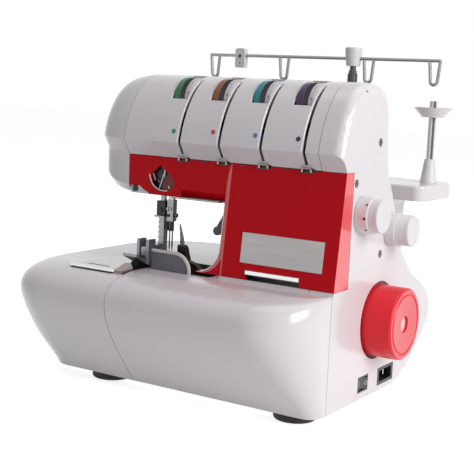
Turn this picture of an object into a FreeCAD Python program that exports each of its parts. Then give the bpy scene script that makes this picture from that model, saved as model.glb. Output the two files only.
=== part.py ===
import FreeCAD, Part
import math
import os

# A domestic four-thread overlock machine: hull-shaped base, red front, white head and thread stand.
# Millimetres. X runs to the handwheel side, Y to the back, Z up. The origin is on the floor under the middle.

V = FreeCAD.Vector
AX, AY, AZ = V(1, 0, 0), V(0, 1, 0), V(0, 0, 1)
far = 999.0
diagonal = math.sqrt(0.5)

# Overall
overall_width = 328.0
overall_depth = 288.0
foot_height = 9.0
hull_height = 98.0
wheel_reach = 26.0
wall = 2.5
seam = 0.6
running = 0.05
clear = 0.4
left_x = -overall_width / 2
right_x = overall_width / 2 - wheel_reach
front_y = -overall_depth / 2
rear_y = overall_depth / 2
table_z = foot_height + hull_height
half = seam / 2

# Base hull. Each level: share of its height, set-back of left, front and rear, and the two front corner radii
hull_levels = [
    (0.00, 26.0, 43.0, 76.0, 18.0, 14.0),
    (0.17, 16.0, 31.0, 39.0, 30.0, 24.0),
    (0.38, 7.0, 16.0, 13.0, 40.0, 36.0),
    (0.60, 2.0, 4.0, 0.5, 46.0, 46.0),
    (0.80, 0.5, 0.5, 18.0, 47.0, 50.0),
    (0.95, 9.0, 14.0, 46.0, 48.0, 44.0),
    (1.00, 23.0, 36.0, 60.0, 40.0, 36.0),
]
rear_right_round = 25.0
rear_left_round = 70.0
low_left, low_front, low_rear = hull_levels[0][1:4]
heel_y = rear_y - hull_levels[-1][3]

# Column, arm and head, seen from the side
red_height = 97.0
red_top_y = -70.0
red_bottom_y = -82.0
arm_height = 34.0
arm_lip = 7.0
arm_back_step = 5.5
column_left_x = 23.0
flare = 22.0
flare_return = 5.0
edge_round = 9.0
column_round = 9.0
flare_steps = 8
flare_set_back = 0.3
back_foot_rise = 23.0
back_foot_step = 36.0
# Each point of the head: steps back and up from the top of the red front, and the way the inside is drawn in
head_profile = [
    (-9.0, 14.0, 1.0, 0.0),
    (6.0, 51.0, 1.0, 0.0),
    (25.0, 68.0, 0.5, -1.0),
    (50.0, 71.0, 0.0, -1.0),
    (68.0, 65.0, -0.5, -1.0),
    (78.0, 41.0, -1.0, 0.0),
    (90.0, -9.0, -1.0, 0.0),
]
red_top_z = table_z + red_height
arm_under_z = red_top_z - arm_height
head_top_z = red_top_z + max(point[1] for point in head_profile)
back_y = red_top_y + head_profile[-1][0]
arm_rear_y = back_y - arm_back_step

# Seams between the covers
table_seam_x = -43.0
table_rear_y = -55.0
cover_gap = 2.0
cover_lift = 2.4
side_depth = 22.0
cap_seam_x = -78.0
cap_length = 34.5
cap_centre_back = 42.0
cap_centre_rise = 18.0
return_depth = 25.0
side_seam_x = right_x - side_depth
cover_rear_y = red_bottom_y - cover_gap
under_red_z = table_z + cover_lift
panel_rear_y = red_bottom_y + return_depth
lip_rear_y = red_top_y + arm_lip
# Each level of the left end cap: share of its length and size against the arm's section
cap_levels = [(0.0, 1.0), (0.45, 0.95), (0.8, 0.84), (1.0, 0.66)]
cap_centre_y = red_top_y + cap_centre_back
cap_centre_z = red_top_z + cap_centre_rise

# Feet, base plate and the hinge of the front cover
foot_radius = 18.0
foot_round = 2.0
foot_left_x = -86.0
foot_right_inset = 32.0
foot_front_y = -76.0
foot_rear_y = 40.0
plate_thick = 4.0
hinge_inset = 5.5
hinge_rise = 3.0
hinge_radius = 2.0
knuckle_radius = 4.0
knuckle_length = 10.0
knuckle_places = (-20.0, 70.0)
ear_places = (-32.0, 84.0)
ear_radius = 3.0
ear_width = 5.0
foot_right_x = right_x - foot_right_inset
hinge_y = front_y + low_front + hinge_inset
hinge_z = foot_height + hinge_rise
plate_front_y = hinge_y + 2 * ear_radius
bed_z = foot_height + plate_thick

# Plates and trim
cloth_plate_length = 58.0
cloth_plate_depth = 64.0
cloth_plate_sink = 3.0
plate_proud = 0.8
trim_inset = 32.0
trim_length = 51.0
trim_rise = 10.5
trim_height = 3.8
trim_proud = 1.6
badge_inset = 12.5
badge_rise = 16.0
badge_width = 77.0
badge_height = 25.5
badge_proud = 0.6
screw_places = ((-11.0, 23.0), (-52.0, -9.0), (1.5, -72.0))
screw_radius = 1.8
screw_head_radius = 3.6
screw_sink = 1.2
screw_length = 12.0
guard_width = 41.0
guard_height = 18.0
guard_bend = 16.0
guard_thick = 2.4
guard_rim_width = 2.6
guard_set_back = 3.2
trim_right_x = right_x - trim_inset
trim_left_x = trim_right_x - trim_length
badge_left_x = right_x - badge_inset - badge_width
plate_top_z = table_z + plate_proud
cloth_plate_x = table_seam_x - cloth_plate_length
cloth_plate_y = table_rear_y - cloth_plate_depth
guard_left_x = table_seam_x + 5.0
guard_y = cover_rear_y - guard_set_back

# Drive
shaft_y = 5.0
shaft_drop = 33.0
shaft_radius = 6.0
shaft_left_x = -24.0
bush_radius = 10.0
bush_length = 12.0
bush_left_x = -12.0
bush_inset = 24.0
wheel_radius = 31.0
wheel_back = 3.0
wheel_gap = 3.0
wheel_round = 3.0
cup_depth = 12.0
hub_hole_radius = 4.0
hub_recess = 7.0
pulley_x = 60.0
pulley_width = 10.0
pulley_radius = 24.0
belt_thick = 2.0
belt_width = 7.0
motor_back = 73.0
motor_drop = 22.0
motor_pulley_radius = 12.0
motor_radius = 22.0
motor_length = 80.0
motor_shaft_radius = 4.0
motor_gap = 8.0
bracket_thick = 3.0
bush_right_x = side_seam_x - bush_inset
shaft_z = table_z - shaft_drop
wheel_recess = wheel_radius + wheel_gap
motor_y = shaft_y + motor_back
motor_z = shaft_z - motor_drop

# Needle, presser, loopers, knives and feed
needle_inset = 6.0
needle_set_back = 10.0
needle_bar_radius = 3.0
needle_pitch = 3.0
needle_radius = 0.7
needle_tip_rise = 12.0
needle_point = 5.0
clamp_half = 3.6
clamp_height = 19.0
clamp_drop = 4.0
clamp_screw_radius = 1.3
clamp_screw_rise = 11.0
presser_step = 9.0
presser_bar_radius = 2.6
presser_lift = 5.0
holder_half = 4.5
holder_height = 13.0
holder_screw_radius = 2.0
holder_screw_proud = 1.2
shank_half = 3.0
rib_count = 5
rib_pitch = 4.4
foot_gap = 1.4
foot_length = 48.5
foot_heel = 4.5
foot_reach = 6.5
sole_left = 10.0
toe_length = 20.0
toe_rise = 9.5
prong_rise = 13.0
prong_half = 5.0
sole_thick = 2.5
ankle_gap = 5.3
ankle_height = 9.0
foot_pin_radius = 1.2
foot_pivot_step = 24.0
ankle_nose = 3.5
spindle_radius = 3.0
lifter_drop = 14.0
lifter_length = 53.0
lifter_reach = 31.5
lifter_half = 2.6
lifter_end_radius = 4.3
lifter_thick = 4.0
lower_looper_drop = 63.0
lower_looper_rise = 42.0
lower_looper_reach = 20.0
upper_looper_drop = 47.0
upper_looper_rise = 84.0
upper_looper_reach = 26.0
knife_drop = 12.0
knife_thick = 2.2
knife_gap = 0.35
plate_thin = 2.5
feed_half = 5.0
rib_width = 3.0
tooth_pitch = 2.0
feed_room = 0.6
feed_stroke = 3.0
needle_x = table_seam_x + needle_inset
needle_y = red_top_y + needle_set_back
needle_places = (needle_x - needle_pitch / 2, needle_x + needle_pitch / 2)
needle_tip_z = table_z + needle_tip_rise
clamp_top_z = arm_under_z - clamp_drop
clamp_bottom_z = clamp_top_z - clamp_height
bar_top_z = red_top_z + 29.0
presser_x = needle_x - presser_step
holder_top_z = arm_under_z - presser_lift - seam
holder_low_z = holder_top_z - holder_height
sole_z = plate_top_z + foot_gap
ankle_z = sole_z + sole_thick + ankle_gap
shank_low_z = ankle_z + ankle_height
foot_pivot_y = needle_y - foot_pivot_step
foot_pivot_z = ankle_z + 2.5
lifter_x = needle_x + 31.0
lifter_z = arm_under_z + lifter_drop
lower_looper_x = needle_x + 17.0
lower_looper_z = table_z - lower_looper_drop
upper_looper_x = needle_x + 30.0
upper_looper_z = table_z - upper_looper_drop
knife_x = needle_x + 13.0
knife_pivot_x = column_left_x - 3.0
knife_pivot_z = table_z - knife_drop
feed_x = needle_x + 2.0
feed_rows = ((needle_y - 20.0, needle_y - 8.0), (needle_y + 12.0, needle_y + 20.0))
needle_plate_z = plate_top_z - plate_thin
take_up_y = needle_y - 6.0
take_up_z = red_top_z + 18.0

# Frame
frame_bed = 5.0
bed_top_z = bed_z + frame_bed
beam_z = arm_under_z + 12.0
beam_top_z = red_top_z + 12.0
beam_front_y = needle_y + 12.0
beam_depth = 42.0
guide_front_y = needle_y - 4.8
guide_heights = ((beam_z - 4.5, beam_z + 1.0), (beam_z + 6.0, beam_z + 12.0))

# Thread tensions
slot_first_x = -20.5
slot_inset = 15.0
slot_count = 4
slot_width = 3.2
slot_rise = 4.0
dial_width = 16.0
dial_radius = 20.0
dial_bore = 3.0
dial_set_back = 29.0
dial_drop = 21.5
dial_ridges = 36
dial_side = 1.8
window_room = 1.2
window_rise = 51.0
window_depth = 40.0
slot_depth = 24.0
disc_radius = 10.0
disc_thick = 0.8
ear_thick = 2.5
slot_pitch = (side_seam_x - slot_inset - slot_first_x) / (slot_count - 1)
slot_places = [slot_first_x + i * slot_pitch for i in range(slot_count)]
dial_y = red_top_y + dial_set_back
dial_z = head_top_z - dial_drop
window_rear_y = red_top_y + window_depth
slot_rear_y = red_top_y + slot_depth
window_z = red_top_z + window_rise

# Thread stand
tray_rise = 79.0
tray_thick = 14.0
tray_left_x = -124.0
tray_overhang = 7.0
tray_depth = 72.0
tray_round = 11.0
gusset_radius = 10.0
pillar_left_x = -10.0
pillar_inset = 31.0
pillar_depth = 46.0
mast_x = 61.0
mast_set_back = 13.0
mast_outer_radius = 4.6
mast_middle_radius = 3.8
mast_rod_radius = 2.9
socket_wall = 4.4
pin_inset = 26.0
pin_end = 15.0
pin_pitch = 78.0
pin_radius = 3.4
pin_height = 76.0
pin_skirt_radius = 8.0
pin_skirt_height = 22.0
pin_boss_radius = 9.0
spool_disc_rise = 61.0
spool_disc_radius = 18.0
spool_disc_height = 9.0
spool_disc_wall = 1.5
wire_rise = 112.0
wire_radius = 1.5
wire_left_x = -98.0
wire_end = -2.0
eye_drop = 18.0
eye_half = 5.0
eye_radius = 3.4
eye_second_x = -13.0
eye_step = 16.0
collar_radius = 8.0
collar_height = 17.0
tab_x = -68.0
tab_width = 11.0
tab_height = 19.0
tray_right_x = right_x + tray_overhang
pillar_right_x = right_x - pillar_inset
wire_right_x = tray_right_x - wire_end
eye_places = (wire_left_x + eye_half, eye_second_x, mast_x + eye_step, wire_right_x - eye_half)
tray_top_z = table_z + tray_rise
tray_under_z = tray_top_z - tray_thick
tray_front_y = rear_y - tray_depth
mast_y = tray_front_y + mast_set_back
pin_y = rear_y - pin_inset
pin_places = [tray_right_x - pin_end - i * pin_pitch for i in range(slot_count)]
wire_z = tray_top_z + wire_rise
collar_z = wire_z - 7.0
mast_low_z = tray_under_z - 18.0
mast_outer_top = wire_z - 14.0

# Controls on the right side
length_dial_y = -39.0
length_dial_drop = 35.0
length_dial_radius = 15.3
length_dial_base = 6.0
differential_y = 20.0
differential_rise = 45.0
differential_radius = 14.5
differential_base = 4.0
dial_reach = 20.0
spindle_length = 16.0
inlet_y = 28.5
inlet_rise = 12.5
inlet_width = 33.0
inlet_height = 16.0
inlet_depth = 18.0
switch_y = -17.0
switch_rise = 13.0
switch_width = 20.0
switch_height = 14.0
switch_depth = 16.0
rocker_room = 3.0
rocker_tilt = 8.0
rocker_pin_radius = 1.2
length_dial_z = red_top_z - length_dial_drop
differential_z = table_z + differential_rise
inlet_z = foot_height + inlet_rise
switch_z = foot_height + switch_rise
rocker_pivot_x = right_x - 6.0


def box(x0, x1, y0, y1, z0, z1):
    return Part.makeBox(x1 - x0, y1 - y0, z1 - z0, V(x0, y0, z0))


def everywhere(x0=-far, x1=far, y0=-far, y1=far, z0=-far, z1=far):
    """Box that is open-ended on each side that isn't given."""
    return box(x0, x1, y0, y1, z0, z1)


def rod(start, axis, radius, length):
    return Part.makeCylinder(radius, length, start, axis)


def tube(start, axis, outer, inner, length):
    return rod(start, axis, outer, length).cut(rod(start - axis, axis, inner, length + 2))


def bore_x(y, z, radius, x0=-far):
    return rod(V(x0, y, z), AX, radius, 2 * far)


def prism(points, push):
    return Part.Face(Part.makePolygon(points + points[:1])).extrude(push)


def prism_x(points, x0, x1):
    return prism([V(x0, y, z) for y, z in points], V(x1 - x0, 0, 0))


def prism_y(points, y0, y1):
    return prism([V(x, y0, z) for x, z in points], V(0, y1 - y0, 0))


def along(axis):
    """Test for straight edges that run along an axis."""
    return lambda e: abs(e.tangentAt(e.FirstParameter).dot(axis)) > 0.99


def rounded(shape, radius, chosen):
    edges = [e for e in shape.Edges if chosen(e)]
    return shape.makeFillet(radius, edges) if edges else shape


def group(shapes):
    return Part.makeCompound(shapes)


def save(name, shape):
    shape.exportStep("parts/" + name + ".step")


def hull_outline(z, x0, x1, y0, y1, radii):
    """Closed plan outline at height z with its four corners rounded."""
    corners = [(x0, y0, 1, 1), (x1, y0, -1, 1), (x1, y1, -1, -1), (x0, y1, 1, -1)]
    arcs = []
    for (x, y, sx, sy), r in zip(corners, radii):
        k = r * (1 - diagonal)
        beside = V(x + sx * r, y, z)
        beyond = V(x, y + sy * r, z)
        middle = V(x + sx * k, y + sy * k, z)
        first, last = (beyond, beside) if sx == sy else (beside, beyond)
        arcs.append((first, middle, last))
    edges = []
    for i, (first, middle, last) in enumerate(arcs):
        edges.append(Part.Arc(first, middle, last).toShape())
        edges.append(Part.makeLine(last, arcs[(i + 1) % len(arcs)][0]))
    return Part.Wire(edges)


def hull(inset, top):
    """Base body lofted through its levels, drawn in by the inset."""
    wires = []
    for share, left, front, rear, r_left, r_right in hull_levels:
        z = foot_height + share * (top - foot_height)
        radii = [r - inset for r in (r_left, r_right, rear_right_round, rear_left_round)]
        wires.append(hull_outline(z, left_x + left + inset, right_x - inset, front_y + front + inset,
                                  rear_y - rear - inset, radii))
    return Part.makeLoft(wires, True, False)


def side_body(inset, x0, x1, bottom):
    """Column and head from the side, drawn in by the inset and pushed along X."""
    heel = V(x0, heel_y - inset, bottom)
    toe = V(x0, red_bottom_y + inset, bottom)
    brim = V(x0, red_top_y + inset, red_top_z)
    over = [V(x0, red_top_y + y + inset * in_y, red_top_z + z + inset * in_z)
            for y, z, in_y, in_z in head_profile]
    crown = Part.BSplineCurve()
    crown.interpolate(over)
    knee = V(x0, back_y + back_foot_step - inset, table_z + back_foot_rise)
    edges = [Part.makeLine(toe, brim), Part.makeLine(brim, over[0]), crown.toShape(),
             Part.makeLine(over[-1], knee), Part.makeLine(knee, heel), Part.makeLine(heel, toe)]
    return Part.Face(Part.Wire(edges)).extrude(V(x1 - x0, 0, 0))


def arm_body(inset, x0, x1):
    """Lower half of the arm, from the underside up to the level where the head cover starts."""
    front = red_top_y + inset
    rear = arm_rear_y - inset
    under = arm_under_z + inset
    top = red_top_z + inset
    points = [(front, top), (front, under + arm_lip), (front + arm_lip, under), (rear - arm_lip, under),
              (rear, under + arm_lip), (rear, top)]
    return prism_x(points, x0, x1)


def red_face_y(z):
    """Where the leaning red front is at a height."""
    low = table_z - wall
    return red_bottom_y + (red_top_y - red_bottom_y) * (z - low) / (red_top_z - low)


def flare_section(x, z):
    """Plan outline of the column's foot at a height, with its front left corner rounded."""
    front = red_face_y(z) + flare_set_back
    rear = red_bottom_y + column_round + flare_return
    right = column_left_x + 2 * column_round
    k = column_round * (1 - diagonal)
    turn = Part.Arc(V(x, front + column_round, z), V(x + k, front + k, z), V(x + column_round, front, z))
    points = [V(x + column_round, front, z), V(right, front, z), V(right, rear, z), V(x, rear, z),
              V(x, front + column_round, z)]
    return Part.Wire([turn.toShape()] + [Part.makeLine(a, b) for a, b in zip(points, points[1:])])


def flare_body():
    """Concave foot where the column's left side runs out on to the base."""
    wires = []
    for i in range(flare_steps + 1):
        angle = math.pi / 2 * i / flare_steps
        wires.append(flare_section(column_left_x - flare * (1 - math.sin(angle)),
                                   under_red_z + flare * (1 - math.cos(angle))))
    return Part.makeLoft(wires, True, True)


def column_body(inset, x0, x1, bottom):
    """Column and the head above it, with the right edges and the front left edge rounded."""
    def right_back_edge(e):
        on_right = all(abs(v.X - x1) < 0.01 for v in e.Vertexes)
        return on_right and e.CenterOfMass.z > table_z and e.CenterOfMass.y > red_top_y

    def left_front_edge(e):
        on_left = all(abs(v.X - x0) < 0.01 for v in e.Vertexes)
        middle = e.CenterOfMass
        return on_left and middle.y < red_top_y and table_z < middle.z < red_top_z
    body = rounded(side_body(inset, x0, x1, bottom), edge_round - inset, right_back_edge)
    return rounded(body, column_round - inset, left_front_edge)


def casing():
    """All covers but the left end cap as one shell, before it is parted at the seams."""
    column = column_body(0, column_left_x, right_x, table_z - wall)
    joint_x = column_left_x + column_round
    head = side_body(0, cap_seam_x, joint_x, table_z).common(everywhere(z0=red_top_z))
    arm = arm_body(0, cap_seam_x, joint_x)
    outer = hull(0, table_z).fuse([column, head, arm]).removeSplitter()
    column = column_body(wall, column_left_x + wall, right_x - wall, table_z - 2 * wall)
    joint_x += wall
    head = side_body(wall, cap_seam_x - 1, joint_x, table_z).common(everywhere(z0=red_top_z - wall))
    arm = arm_body(wall, cap_seam_x - 1, joint_x)
    inner = hull(wall, table_z - wall).fuse([column, head, arm])
    return outer, outer.cut(inner)


# Regions that part the shell at its seams
front_region = everywhere(x0=table_seam_x + half, y1=cover_rear_y - half, z1=under_red_z)
table_region = everywhere(x1=table_seam_x - half, y1=table_rear_y - half, z1=under_red_z)
red_column_region = everywhere(x0=column_left_x - wall, y1=panel_rear_y - half, z0=under_red_z,
                               z1=red_top_z - half)
red_arm_region = everywhere(x0=cap_seam_x + half, x1=column_left_x, y1=lip_rear_y - half, z0=arm_under_z - 1,
                            z1=red_top_z - half)
above_red = everywhere(z0=red_top_z + half)
head_span = everywhere(x0=cap_seam_x + half, x1=side_seam_x - half)
right_region = everywhere(x0=side_seam_x + half)
fronts = [everywhere(x0=table_seam_x - half, y1=cover_rear_y + half, z1=under_red_z + 0.01),
          everywhere(x1=table_seam_x + half, y1=table_rear_y + half, z1=under_red_z),
          everywhere(x0=column_left_x - wall - half, y1=panel_rear_y + half, z0=under_red_z - half,
                     z1=red_top_z),
          everywhere(x1=column_left_x, y1=lip_rear_y + half, z0=arm_under_z - 1, z1=red_top_z + half)]

# Opening in the bed under the needle, and in the arm above it
bed_hole = everywhere(x0=table_seam_x + half, x1=column_left_x - 2, y0=cover_rear_y - 9, y1=needle_y + 25,
                      z0=table_z - 2 * wall, z1=table_z + 1)
arm_hole = everywhere(x0=needle_x - 27, x1=needle_x + 12, y1=needle_y + 10, z0=arm_under_z - 1,
                      z1=arm_under_z + arm_lip)


def front_cover(shell):
    """Looper cover that swings down, with the two knuckles it hangs on."""
    cover = shell.common(front_region)
    body = hull(half, table_z)
    knuckles = []
    for x in knuckle_places:
        knuckles.append(rod(V(x, hinge_y, hinge_z), AX, knuckle_radius, knuckle_length))
        web = box(x, x + knuckle_length, front_y, hinge_y, hinge_z - hinge_radius, hinge_z + hinge_radius)
        knuckles.append(web.common(body))
    start = min(knuckle_places) - 1
    end = max(knuckle_places) + knuckle_length + 1
    bore = rod(V(start, hinge_y, hinge_z), AX, hinge_radius + running, end - start)
    return cover.fuse(knuckles).cut(bore)


def left_table(shell):
    seat = everywhere(x0=cloth_plate_x, y0=cloth_plate_y, z0=table_z - cloth_plate_sink)
    return shell.common(table_region).cut(seat)


def red_front_panel(shell):
    """Red front of column and arm with its flared foot, the opening over the needles and the finger grip."""
    panel = shell.common(red_column_region).fuse([shell.common(red_arm_region), flare_body()])
    left, right, low = needle_x - 17, needle_x + 9, arm_under_z - 3
    shield = [(left, low), (right, low), (right - 1, low + 19), (right - 10, low + 29),
              (right - 17, low + 29), (left, low + 21)]
    panel = panel.cut(prism_y(shield, front_y, needle_y)).cut(arm_hole)
    trim_low = table_z + trim_rise - trim_height
    grip = box(trim_left_x, trim_right_x, front_y, red_bottom_y + 2 * wall, under_red_z - 1, trim_low)
    return panel.cut([grip, finger_trim(), name_plate()])


def head_cover(shell):
    """White head with a thread slot and a dial window for each thread."""
    cover = shell.common(above_red).common(head_span)
    for x in slot_places:
        slot = everywhere(x0=x, x1=x + slot_width, y1=slot_rear_y, z0=red_top_z + slot_rise)
        right = x - dial_side + half
        left = x - dial_side - dial_width - window_room
        cover = cover.cut([slot, everywhere(x0=left, x1=right, y1=window_rear_y, z0=window_z)])
    return cover.cut(slot_guides().Solids)


def right_side_cover(shell):
    """Handwheel side with the wheel's cup and the holes of the controls."""
    cover = shell.common(right_region)
    for region in fronts:
        cover = cover.cut(region)
    cup = rod(V(right_x - cup_depth, shaft_y, shaft_z), AX, wheel_recess + wall, cup_depth - half)
    cover = cover.fuse(cup)
    cuts = [bore_x(shaft_y, shaft_z, wheel_recess, right_x - cup_depth + wall),
            bore_x(shaft_y, shaft_z, shaft_radius + wheel_gap)]
    for y, z in ((length_dial_y, length_dial_z), (differential_y, differential_z)):
        cuts.append(bore_x(y, z, spindle_radius + running))
    for y, z, width, height in ((inlet_y, inlet_z, inlet_width, inlet_height),
                                (switch_y, switch_z, switch_width, switch_height)):
        cuts.append(box(side_seam_x, far, y - width / 2, y + width / 2, z - height / 2, z + height / 2))
    for y, rise in screw_places:
        cuts.append(bore_x(y, red_top_z + rise, screw_radius))
        cuts.append(bore_x(y, red_top_z + rise, screw_head_radius, right_x - screw_sink))
    return cover.cut(cuts)


def rear_cover(shell):
    cover = shell.cut(everywhere(x0=side_seam_x - half)).cut(everywhere(z0=red_top_z - half))
    for region in fronts:
        cover = cover.cut(region)
    cover = cover.cut(bed_hole).cut(arm_hole)
    return cover.cut(rod(V(lifter_x, 0, lifter_z), AY, spindle_radius + running, rear_y))


def cap_section(x, size, inset):
    """Outline of the arm and head at x, drawn in and scaled about the cap's centre."""
    slab = side_body(inset, x, x + 1, table_z).common(everywhere(z0=red_top_z))
    slab = slab.fuse(arm_body(inset, x, x + 1)).removeSplitter()
    face = [f for f in slab.Faces if abs(f.CenterOfMass.x - x) < 0.01][0]
    wire = face.OuterWire
    wire.scale(size, V(x, cap_centre_y, cap_centre_z))
    return wire


def left_face_cover():
    """Rounded white cap that closes the left end of the arm and head."""
    start = cap_seam_x - half
    inside = cap_length - wall
    outer = Part.makeLoft([cap_section(start - cap_length * t, k, 0.0) for t, k in cap_levels], True, False)
    inner = Part.makeLoft([cap_section(start - inside * t, k, wall) for t, k in cap_levels], True, False)
    return outer.cut(inner)


def base_plate():
    """Bottom plate with the two ears that hold the cover's hinge rod."""
    gap = wall + seam
    radii = (20.0, 10.0, rear_right_round - gap, rear_left_round - gap)
    wire = hull_outline(foot_height, left_x + low_left + gap, right_x - gap, plate_front_y,
                        rear_y - low_rear - gap, radii)
    plate = Part.Face(wire).extrude(V(0, 0, plate_thick))
    ears = []
    for x in ear_places:
        ears.append(rod(V(x, hinge_y, hinge_z), AX, ear_radius, ear_width))
        ears.append(box(x, x + ear_width, hinge_y, plate_front_y + 2 * ear_radius,
                        hinge_z - 1.5, hinge_z + 2.5))
    return plate.fuse(ears).cut(bore_x(hinge_y, hinge_z, hinge_radius))


def hinge_rod():
    start = min(ear_places) - hinge_radius
    end = max(ear_places) + ear_width + hinge_radius
    return rod(V(start, hinge_y, hinge_z), AX, hinge_radius, end - start)


def rubber_feet():
    feet = []
    for x in (foot_left_x, foot_right_x):
        for y in (foot_front_y, foot_rear_y):
            foot = rod(V(x, y, 0), AZ, foot_radius, foot_height)
            feet.append(rounded(foot, foot_round, lambda e: e.CenterOfMass.z < 0.01 and e.Closed))
    return group(feet)


def frame_post(x, half_width, y0, depth, top):
    return box(x - half_width, x + half_width, y0, y0 + depth, bed_top_z - 1, top)


def machine_frame():
    """Cast frame: bed, bearing brackets, column post, arm beam, pivot posts and guides of the two bars."""
    right = side_seam_x - 12
    beam_rear = beam_front_y + beam_depth
    parts = [box(table_seam_x + 3, right + 4, needle_y - 10, motor_y - 12, bed_z, bed_top_z),
             box(column_left_x + 10, right, red_bottom_y + 22, shaft_y - pulley_radius - 5,
                 bed_top_z - 1, beam_z + 2),
             box(cap_seam_x + 12, right, beam_front_y, beam_rear, beam_z, beam_top_z),
             frame_post(needle_x + 28.5, 3.5, needle_y + 14, 9, needle_plate_z),
             frame_post(lower_looper_x, 8, needle_y - 8, 6, lower_looper_z + 8),
             frame_post(upper_looper_x, 8, needle_y + 12, 6, upper_looper_z + 8),
             frame_post(knife_pivot_x, 8, needle_y + 4, 6, knife_pivot_z + 7),
             motor_bracket()]
    for x in (bush_left_x, bush_right_x):
        parts.append(frame_post(x + bush_length / 2, bush_length / 2, shaft_y - 16, 32,
                                shaft_z + bush_radius + 5))
    for z0, z1 in guide_heights:
        parts.append(box(presser_x - 10, needle_x + 11, guide_front_y, beam_front_y + 8, z0, z1))
    cuts = [bore_x(shaft_y, shaft_z, bush_radius)]
    for x, radius in ((needle_x, needle_bar_radius), (presser_x, presser_bar_radius)):
        cuts.append(rod(V(x, needle_y, table_z), AZ, radius + running, head_top_z))
    for x, z in ((lower_looper_x, lower_looper_z), (upper_looper_x, upper_looper_z),
                 (knife_pivot_x, knife_pivot_z)):
        cuts.append(rod(V(x, needle_y - 9, z), AY, spindle_radius + running, 30))
    return parts[0].fuse(parts[1:]).cut(cuts).removeSplitter()


def shaft_bushes():
    inner = shaft_radius + running
    return group([tube(V(x, shaft_y, shaft_z), AX, bush_radius, inner, bush_length)
                  for x in (bush_left_x, bush_right_x)])


def main_shaft():
    end = right_x + wheel_reach - hub_recess
    return rod(V(shaft_left_x, shaft_y, shaft_z), AX, shaft_radius, end - shaft_left_x)


def handwheel():
    start = V(right_x - wheel_back, shaft_y, shaft_z)
    face_x = right_x + wheel_reach
    wheel = rod(start, AX, wheel_radius, wheel_reach + wheel_back)
    wheel = rounded(wheel, wheel_round, lambda e: e.Closed and abs(e.CenterOfMass.x - face_x) < 0.01)
    wheel = wheel.cut(rod(start, AX, shaft_radius, wheel_back + wheel_reach - hub_recess))
    return wheel.cut(bore_x(shaft_y, shaft_z, hub_hole_radius, face_x - hub_recess))


def grooved_pulley(y, z, radius, bore):
    """Flanged pulley whose groove takes the belt with room on each side."""
    flange = (pulley_width - belt_width) / 2 - clear
    body = rod(V(pulley_x, y, z), AX, radius, pulley_width)
    groove = tube(V(pulley_x + flange, y, z), AX, radius + 1, radius - belt_thick, pulley_width - 2 * flange)
    return body.cut(groove).cut(bore_x(y, z, bore))


def shaft_pulley():
    return grooved_pulley(shaft_y, shaft_z, pulley_radius, shaft_radius)


def motor_pulley():
    start = pulley_x - motor_gap - motor_length / 2 + 1
    spindle = rod(V(start, motor_y, motor_z), AX, motor_shaft_radius, pulley_x + pulley_width - start)
    wheel = grooved_pulley(motor_y, motor_z, motor_pulley_radius, motor_shaft_radius)
    return wheel.fuse(spindle).removeSplitter()


def belt_loop(grow):
    """Face inside the belt's outline round both pulleys, grown outwards by the given amount."""
    a = V(pulley_x, shaft_y, shaft_z)
    b = V(pulley_x, motor_y, motor_z)
    ra = pulley_radius - belt_thick + clear + grow
    rb = motor_pulley_radius - belt_thick + clear + grow
    line = b - a
    tilt = math.atan2(line.z, line.y)
    lean = math.acos((ra - rb) / line.Length)
    ends = []
    for angle in (tilt + lean, tilt - lean):
        normal = V(0, math.cos(angle), math.sin(angle))
        ends.append((a + normal * ra, b + normal * rb))
    line.normalize()
    edges = [Part.makeLine(ends[0][0], ends[0][1]), Part.Arc(ends[0][1], b + line * rb, ends[1][1]).toShape(),
             Part.makeLine(ends[1][1], ends[1][0]), Part.Arc(ends[1][0], a - line * ra, ends[0][0]).toShape()]
    return Part.Face(Part.Wire(edges))


def drive_belt():
    belt = belt_loop(belt_thick).cut(belt_loop(0.0)).extrude(V(belt_width, 0, 0))
    belt.translate(V((pulley_width - belt_width) / 2, 0, 0))
    return belt


def motor():
    end = pulley_x - motor_gap
    body = rod(V(end - motor_length, motor_y, motor_z), AX, motor_radius, motor_length)
    return body.cut(bore_x(motor_y, motor_z, motor_shaft_radius + running, end - motor_length / 2))


def motor_bracket():
    start = pulley_x - motor_gap
    plate = box(start, start + bracket_thick, motor_y - motor_radius, motor_y + 8,
                bed_top_z - 1, motor_z + 16)
    return plate.cut(bore_x(motor_y, motor_z, motor_shaft_radius + 2))


def needle_bar():
    return rod(V(needle_x, needle_y, clamp_top_z), AZ, needle_bar_radius, bar_top_z - clamp_top_z)


def needle_clamp():
    """Block on the needle bar, narrowed towards the needles, with one screw for each of them."""
    clamp = box(needle_x - clamp_half, needle_x + clamp_half, needle_y - clamp_half, needle_y + clamp_half,
                clamp_bottom_z, clamp_top_z)
    clamp = rounded(clamp, 1.5, along(AZ))
    narrow = needle_pitch / 2 + needle_radius + 1
    taper = prism_y([(needle_x - far, clamp_bottom_z - 1), (needle_x - narrow, clamp_bottom_z - 1),
                     (needle_x - clamp_half - 1, clamp_bottom_z + 8), (needle_x - far, clamp_bottom_z + 8)],
                    needle_y - far, needle_y + far)
    clamp = clamp.cut([taper, taper.mirror(V(needle_x, 0, 0), AX)])
    front = needle_y - clamp_half
    z = clamp_bottom_z + clamp_screw_rise
    screws = []
    for x in needle_places:
        screw = rod(V(x, front - 1.5, z), AY, clamp_screw_radius, 5.5)
        clamp = clamp.cut(screw)
        screws.append(screw.cut(box(x - 3, x + 3, front - 2, front - 1, z - 0.25, z + 0.25)))
    return group([clamp] + screws)


def needles():
    pair = []
    for x in needle_places:
        low = needle_tip_z + needle_point
        shank = rod(V(x, needle_y, low), AZ, needle_radius, clamp_bottom_z - low)
        point = Part.makeCone(0.1, needle_radius, needle_point, V(x, needle_y, needle_tip_z), AZ)
        pair.append(shank.fuse(point).removeSplitter())
    return group(pair)


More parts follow.
